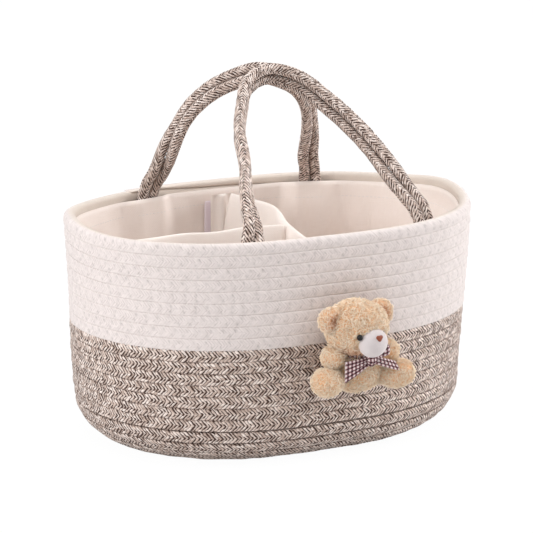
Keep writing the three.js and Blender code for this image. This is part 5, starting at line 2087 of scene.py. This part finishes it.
@dataclass
class Studio:
    """A pale floor, soft lamps and the camera at the photograph's angle."""

    azimuth: float = -25.0
    elevation: float = 15.4984
    distance: float = 2.12005
    target: Triple = (0.0, 0.0, 0.095)
    lens: float = 165.92
    shift: Pair = (-0.0042, 0.0869)
    world_light: float = 0.06
    zenith_light: float = 0.93
    side_power: float = 38.0
    right_share: float = 1.2
    top_power: float = 17.0
    floor_half: float = 6000.0
    floor_drop: float = 0.2
    floor_grey: float = 0.85
    floor_glow: float = 1.02
    floor_white_share: float = 0.95

    def camera(self) -> None:
        """Place the camera."""
        turn, rise = math.radians(self.azimuth), math.radians(self.elevation)
        back = Vector((math.sin(turn) * math.cos(rise), -math.cos(turn) * math.cos(rise), math.sin(rise)))
        data = bpy.data.cameras.new("camera")
        data.sensor_width = 36.0
        data.lens = self.lens
        data.shift_x, data.shift_y = self.shift
        data.clip_start, data.clip_end = 0.05, 50.0
        camera = put_in_scene(bpy.data.objects.new("camera", data))
        camera.location = Vector(self.target) + back * self.distance
        camera.rotation_euler = (-back).to_track_quat("-Z", "Y").to_euler()
        bpy.context.scene.camera = camera

    def lamp(self, name: str, place: Sequence[float], size: float, power: float) -> None:
        """Hang a large soft lamp that faces the object.

        Args:
            name: its name.
            place: where it hangs, in metres.
            size: length of its side.
            power: its power.
        """
        data = bpy.data.lights.new(name, "AREA")
        data.size = size
        data.energy = power
        lamp = put_in_scene(bpy.data.objects.new(name, data))
        lamp.location = place
        way = Vector(self.target) - Vector(place)
        lamp.rotation_euler = way.to_track_quat("-Z", "Y").to_euler()

    def world(self) -> None:
        """Light the room evenly, and show it white to the camera."""
        world = bpy.data.worlds.new("studio")
        world.use_nodes = True
        work = NodeWork(world.node_tree)
        sky = work.node("ShaderNodeTexCoord").outputs["Generated"]
        height = work.node("ShaderNodeSeparateXYZ", {0: sky}).outputs[2]
        above = work.scaled(height, 1.6, -0.15, clamp=True)
        light = work.scaled(above, self.zenith_light - self.world_light, self.world_light)
        strength = work.scaled(seen(work), work.math("SUBTRACT", 1.0, light), light)
        back = work.node("ShaderNodeBackground", {"Color": (1, 1, 1, 1), "Strength": strength})
        work.node("ShaderNodeOutputWorld", {"Surface": back.outputs[0]})
        bpy.context.scene.world = world

    def floor(self) -> None:
        """Lay the floor, which is white to the camera and keeps a faint shadow."""
        corners = np.array([[-1, -1, 0], [1, -1, 0], [1, 1, 0], [-1, 1, 0]]) * self.floor_half
        piece = new_piece("studio_floor", corners - [0, 0, self.floor_drop], [[0, 1, 2, 3]])
        material = bpy.data.materials.new("studio_floor")
        material.use_nodes = True
        work = NodeWork(material.node_tree)
        plain = work.node("ShaderNodeBsdfDiffuse", {"Color": (*[self.floor_grey] * 3, 1)}).outputs[0]
        glow = {"Color": (1, 1, 1, 1), "Strength": self.floor_glow}
        bright = work.node("ShaderNodeEmission", glow).outputs[0]
        share = work.times(seen(work), self.floor_white_share)
        mixed = work.node("ShaderNodeMixShader", {0: share, 1: plain, 2: bright}).outputs[0]
        work.node("ShaderNodeOutputMaterial", {"Surface": mixed})
        piece.data.materials.append(material)

    def build(self) -> None:
        """Set up the whole studio."""
        self.camera()
        self.world()
        self.floor()
        self.lamp("left_lamp", (-2.6, -0.3, 1.1), 1.6, self.side_power)
        self.lamp("right_lamp", (2.6, -0.6, 1.1), 1.6, self.side_power * self.right_share)
        self.lamp("top_lamp", (0.0, -0.2, 2.5), 2.0, self.top_power)
        bpy.context.scene.view_settings.view_transform = "Standard"


def main() -> None:
    """Build every sub-assembly in order."""
    logging.basicConfig(level=logging.INFO, format="%(message)s")
    Studio().build()
    stitches = StitchTree()
    basket = Basket()

    mottled = CoilRope(basket, Coil.MOTTLED, steps=300)
    settle(mottled.build("mottled_rope", MOTTLED), Body.BASKET, "mottled_rope", "mottled_rope_coil")
    white = CoilRope(basket, Coil.WHITE, steps=800, dent_depth=0.7, lump=0.1, groove=0.86)
    settle(white.build("white_rope", WHITE), Body.BASKET, "white_rope", "white_rope_coil")
    seam = mottled.thread("mottled_rope_thread", BROWN_THREAD, stitches, 2.0, 19.0)
    settle(seam, Body.BASKET, "mottled_rope")
    seam = white.thread("white_rope_thread", WHITE_THREAD, stitches, 19.0, 28.0)
    settle(seam, Body.BASKET, "white_rope")

    front = Handle(
        basket, "front", -1, spacing=163, offset=18.5, lean=49, height=154, turns=(71, 71),
        shares=((1, 0), (0.925, 0.165), (0.822, 0.415), (0.686, 0.612), (0.504, 0.79), (0.315, 0.93),
                (0, 1)),
        left_shares=((1, 0), (0.925, 0.165), (0.868, 0.26), (0.795, 0.36), (0.745, 0.44), (0.66, 0.612),
                     (0.487, 0.79), (0.31, 0.93), (0, 1)),
        left_turn_start=-50.0)
    rear = Handle(
        basket, "rear", 1, spacing=156, offset=8.6, lean=29.5, height=114.5, turns=(90, 45),
        shares=((1, 0), (0.945, 0.11), (0.868, 0.4), (0.722, 0.7), (0.5, 0.87), (0.2, 0.97), (0, 1)))
    for handle in (front, rear):
        handle.build(stitches)

    feet = [(handle.side, handle.offset + end * handle.spacing / 2)
            for handle in (front, rear) for end in (-1, 1)]
    liner = Liner(basket, feet)
    liner.wall()
    liner.hem(stitches)
    liner.floor()
    Divider(basket).build()
    bear = Bear(basket)
    bear.build()
    Bow(bear).build()


if __name__ == "__main__":
    main()
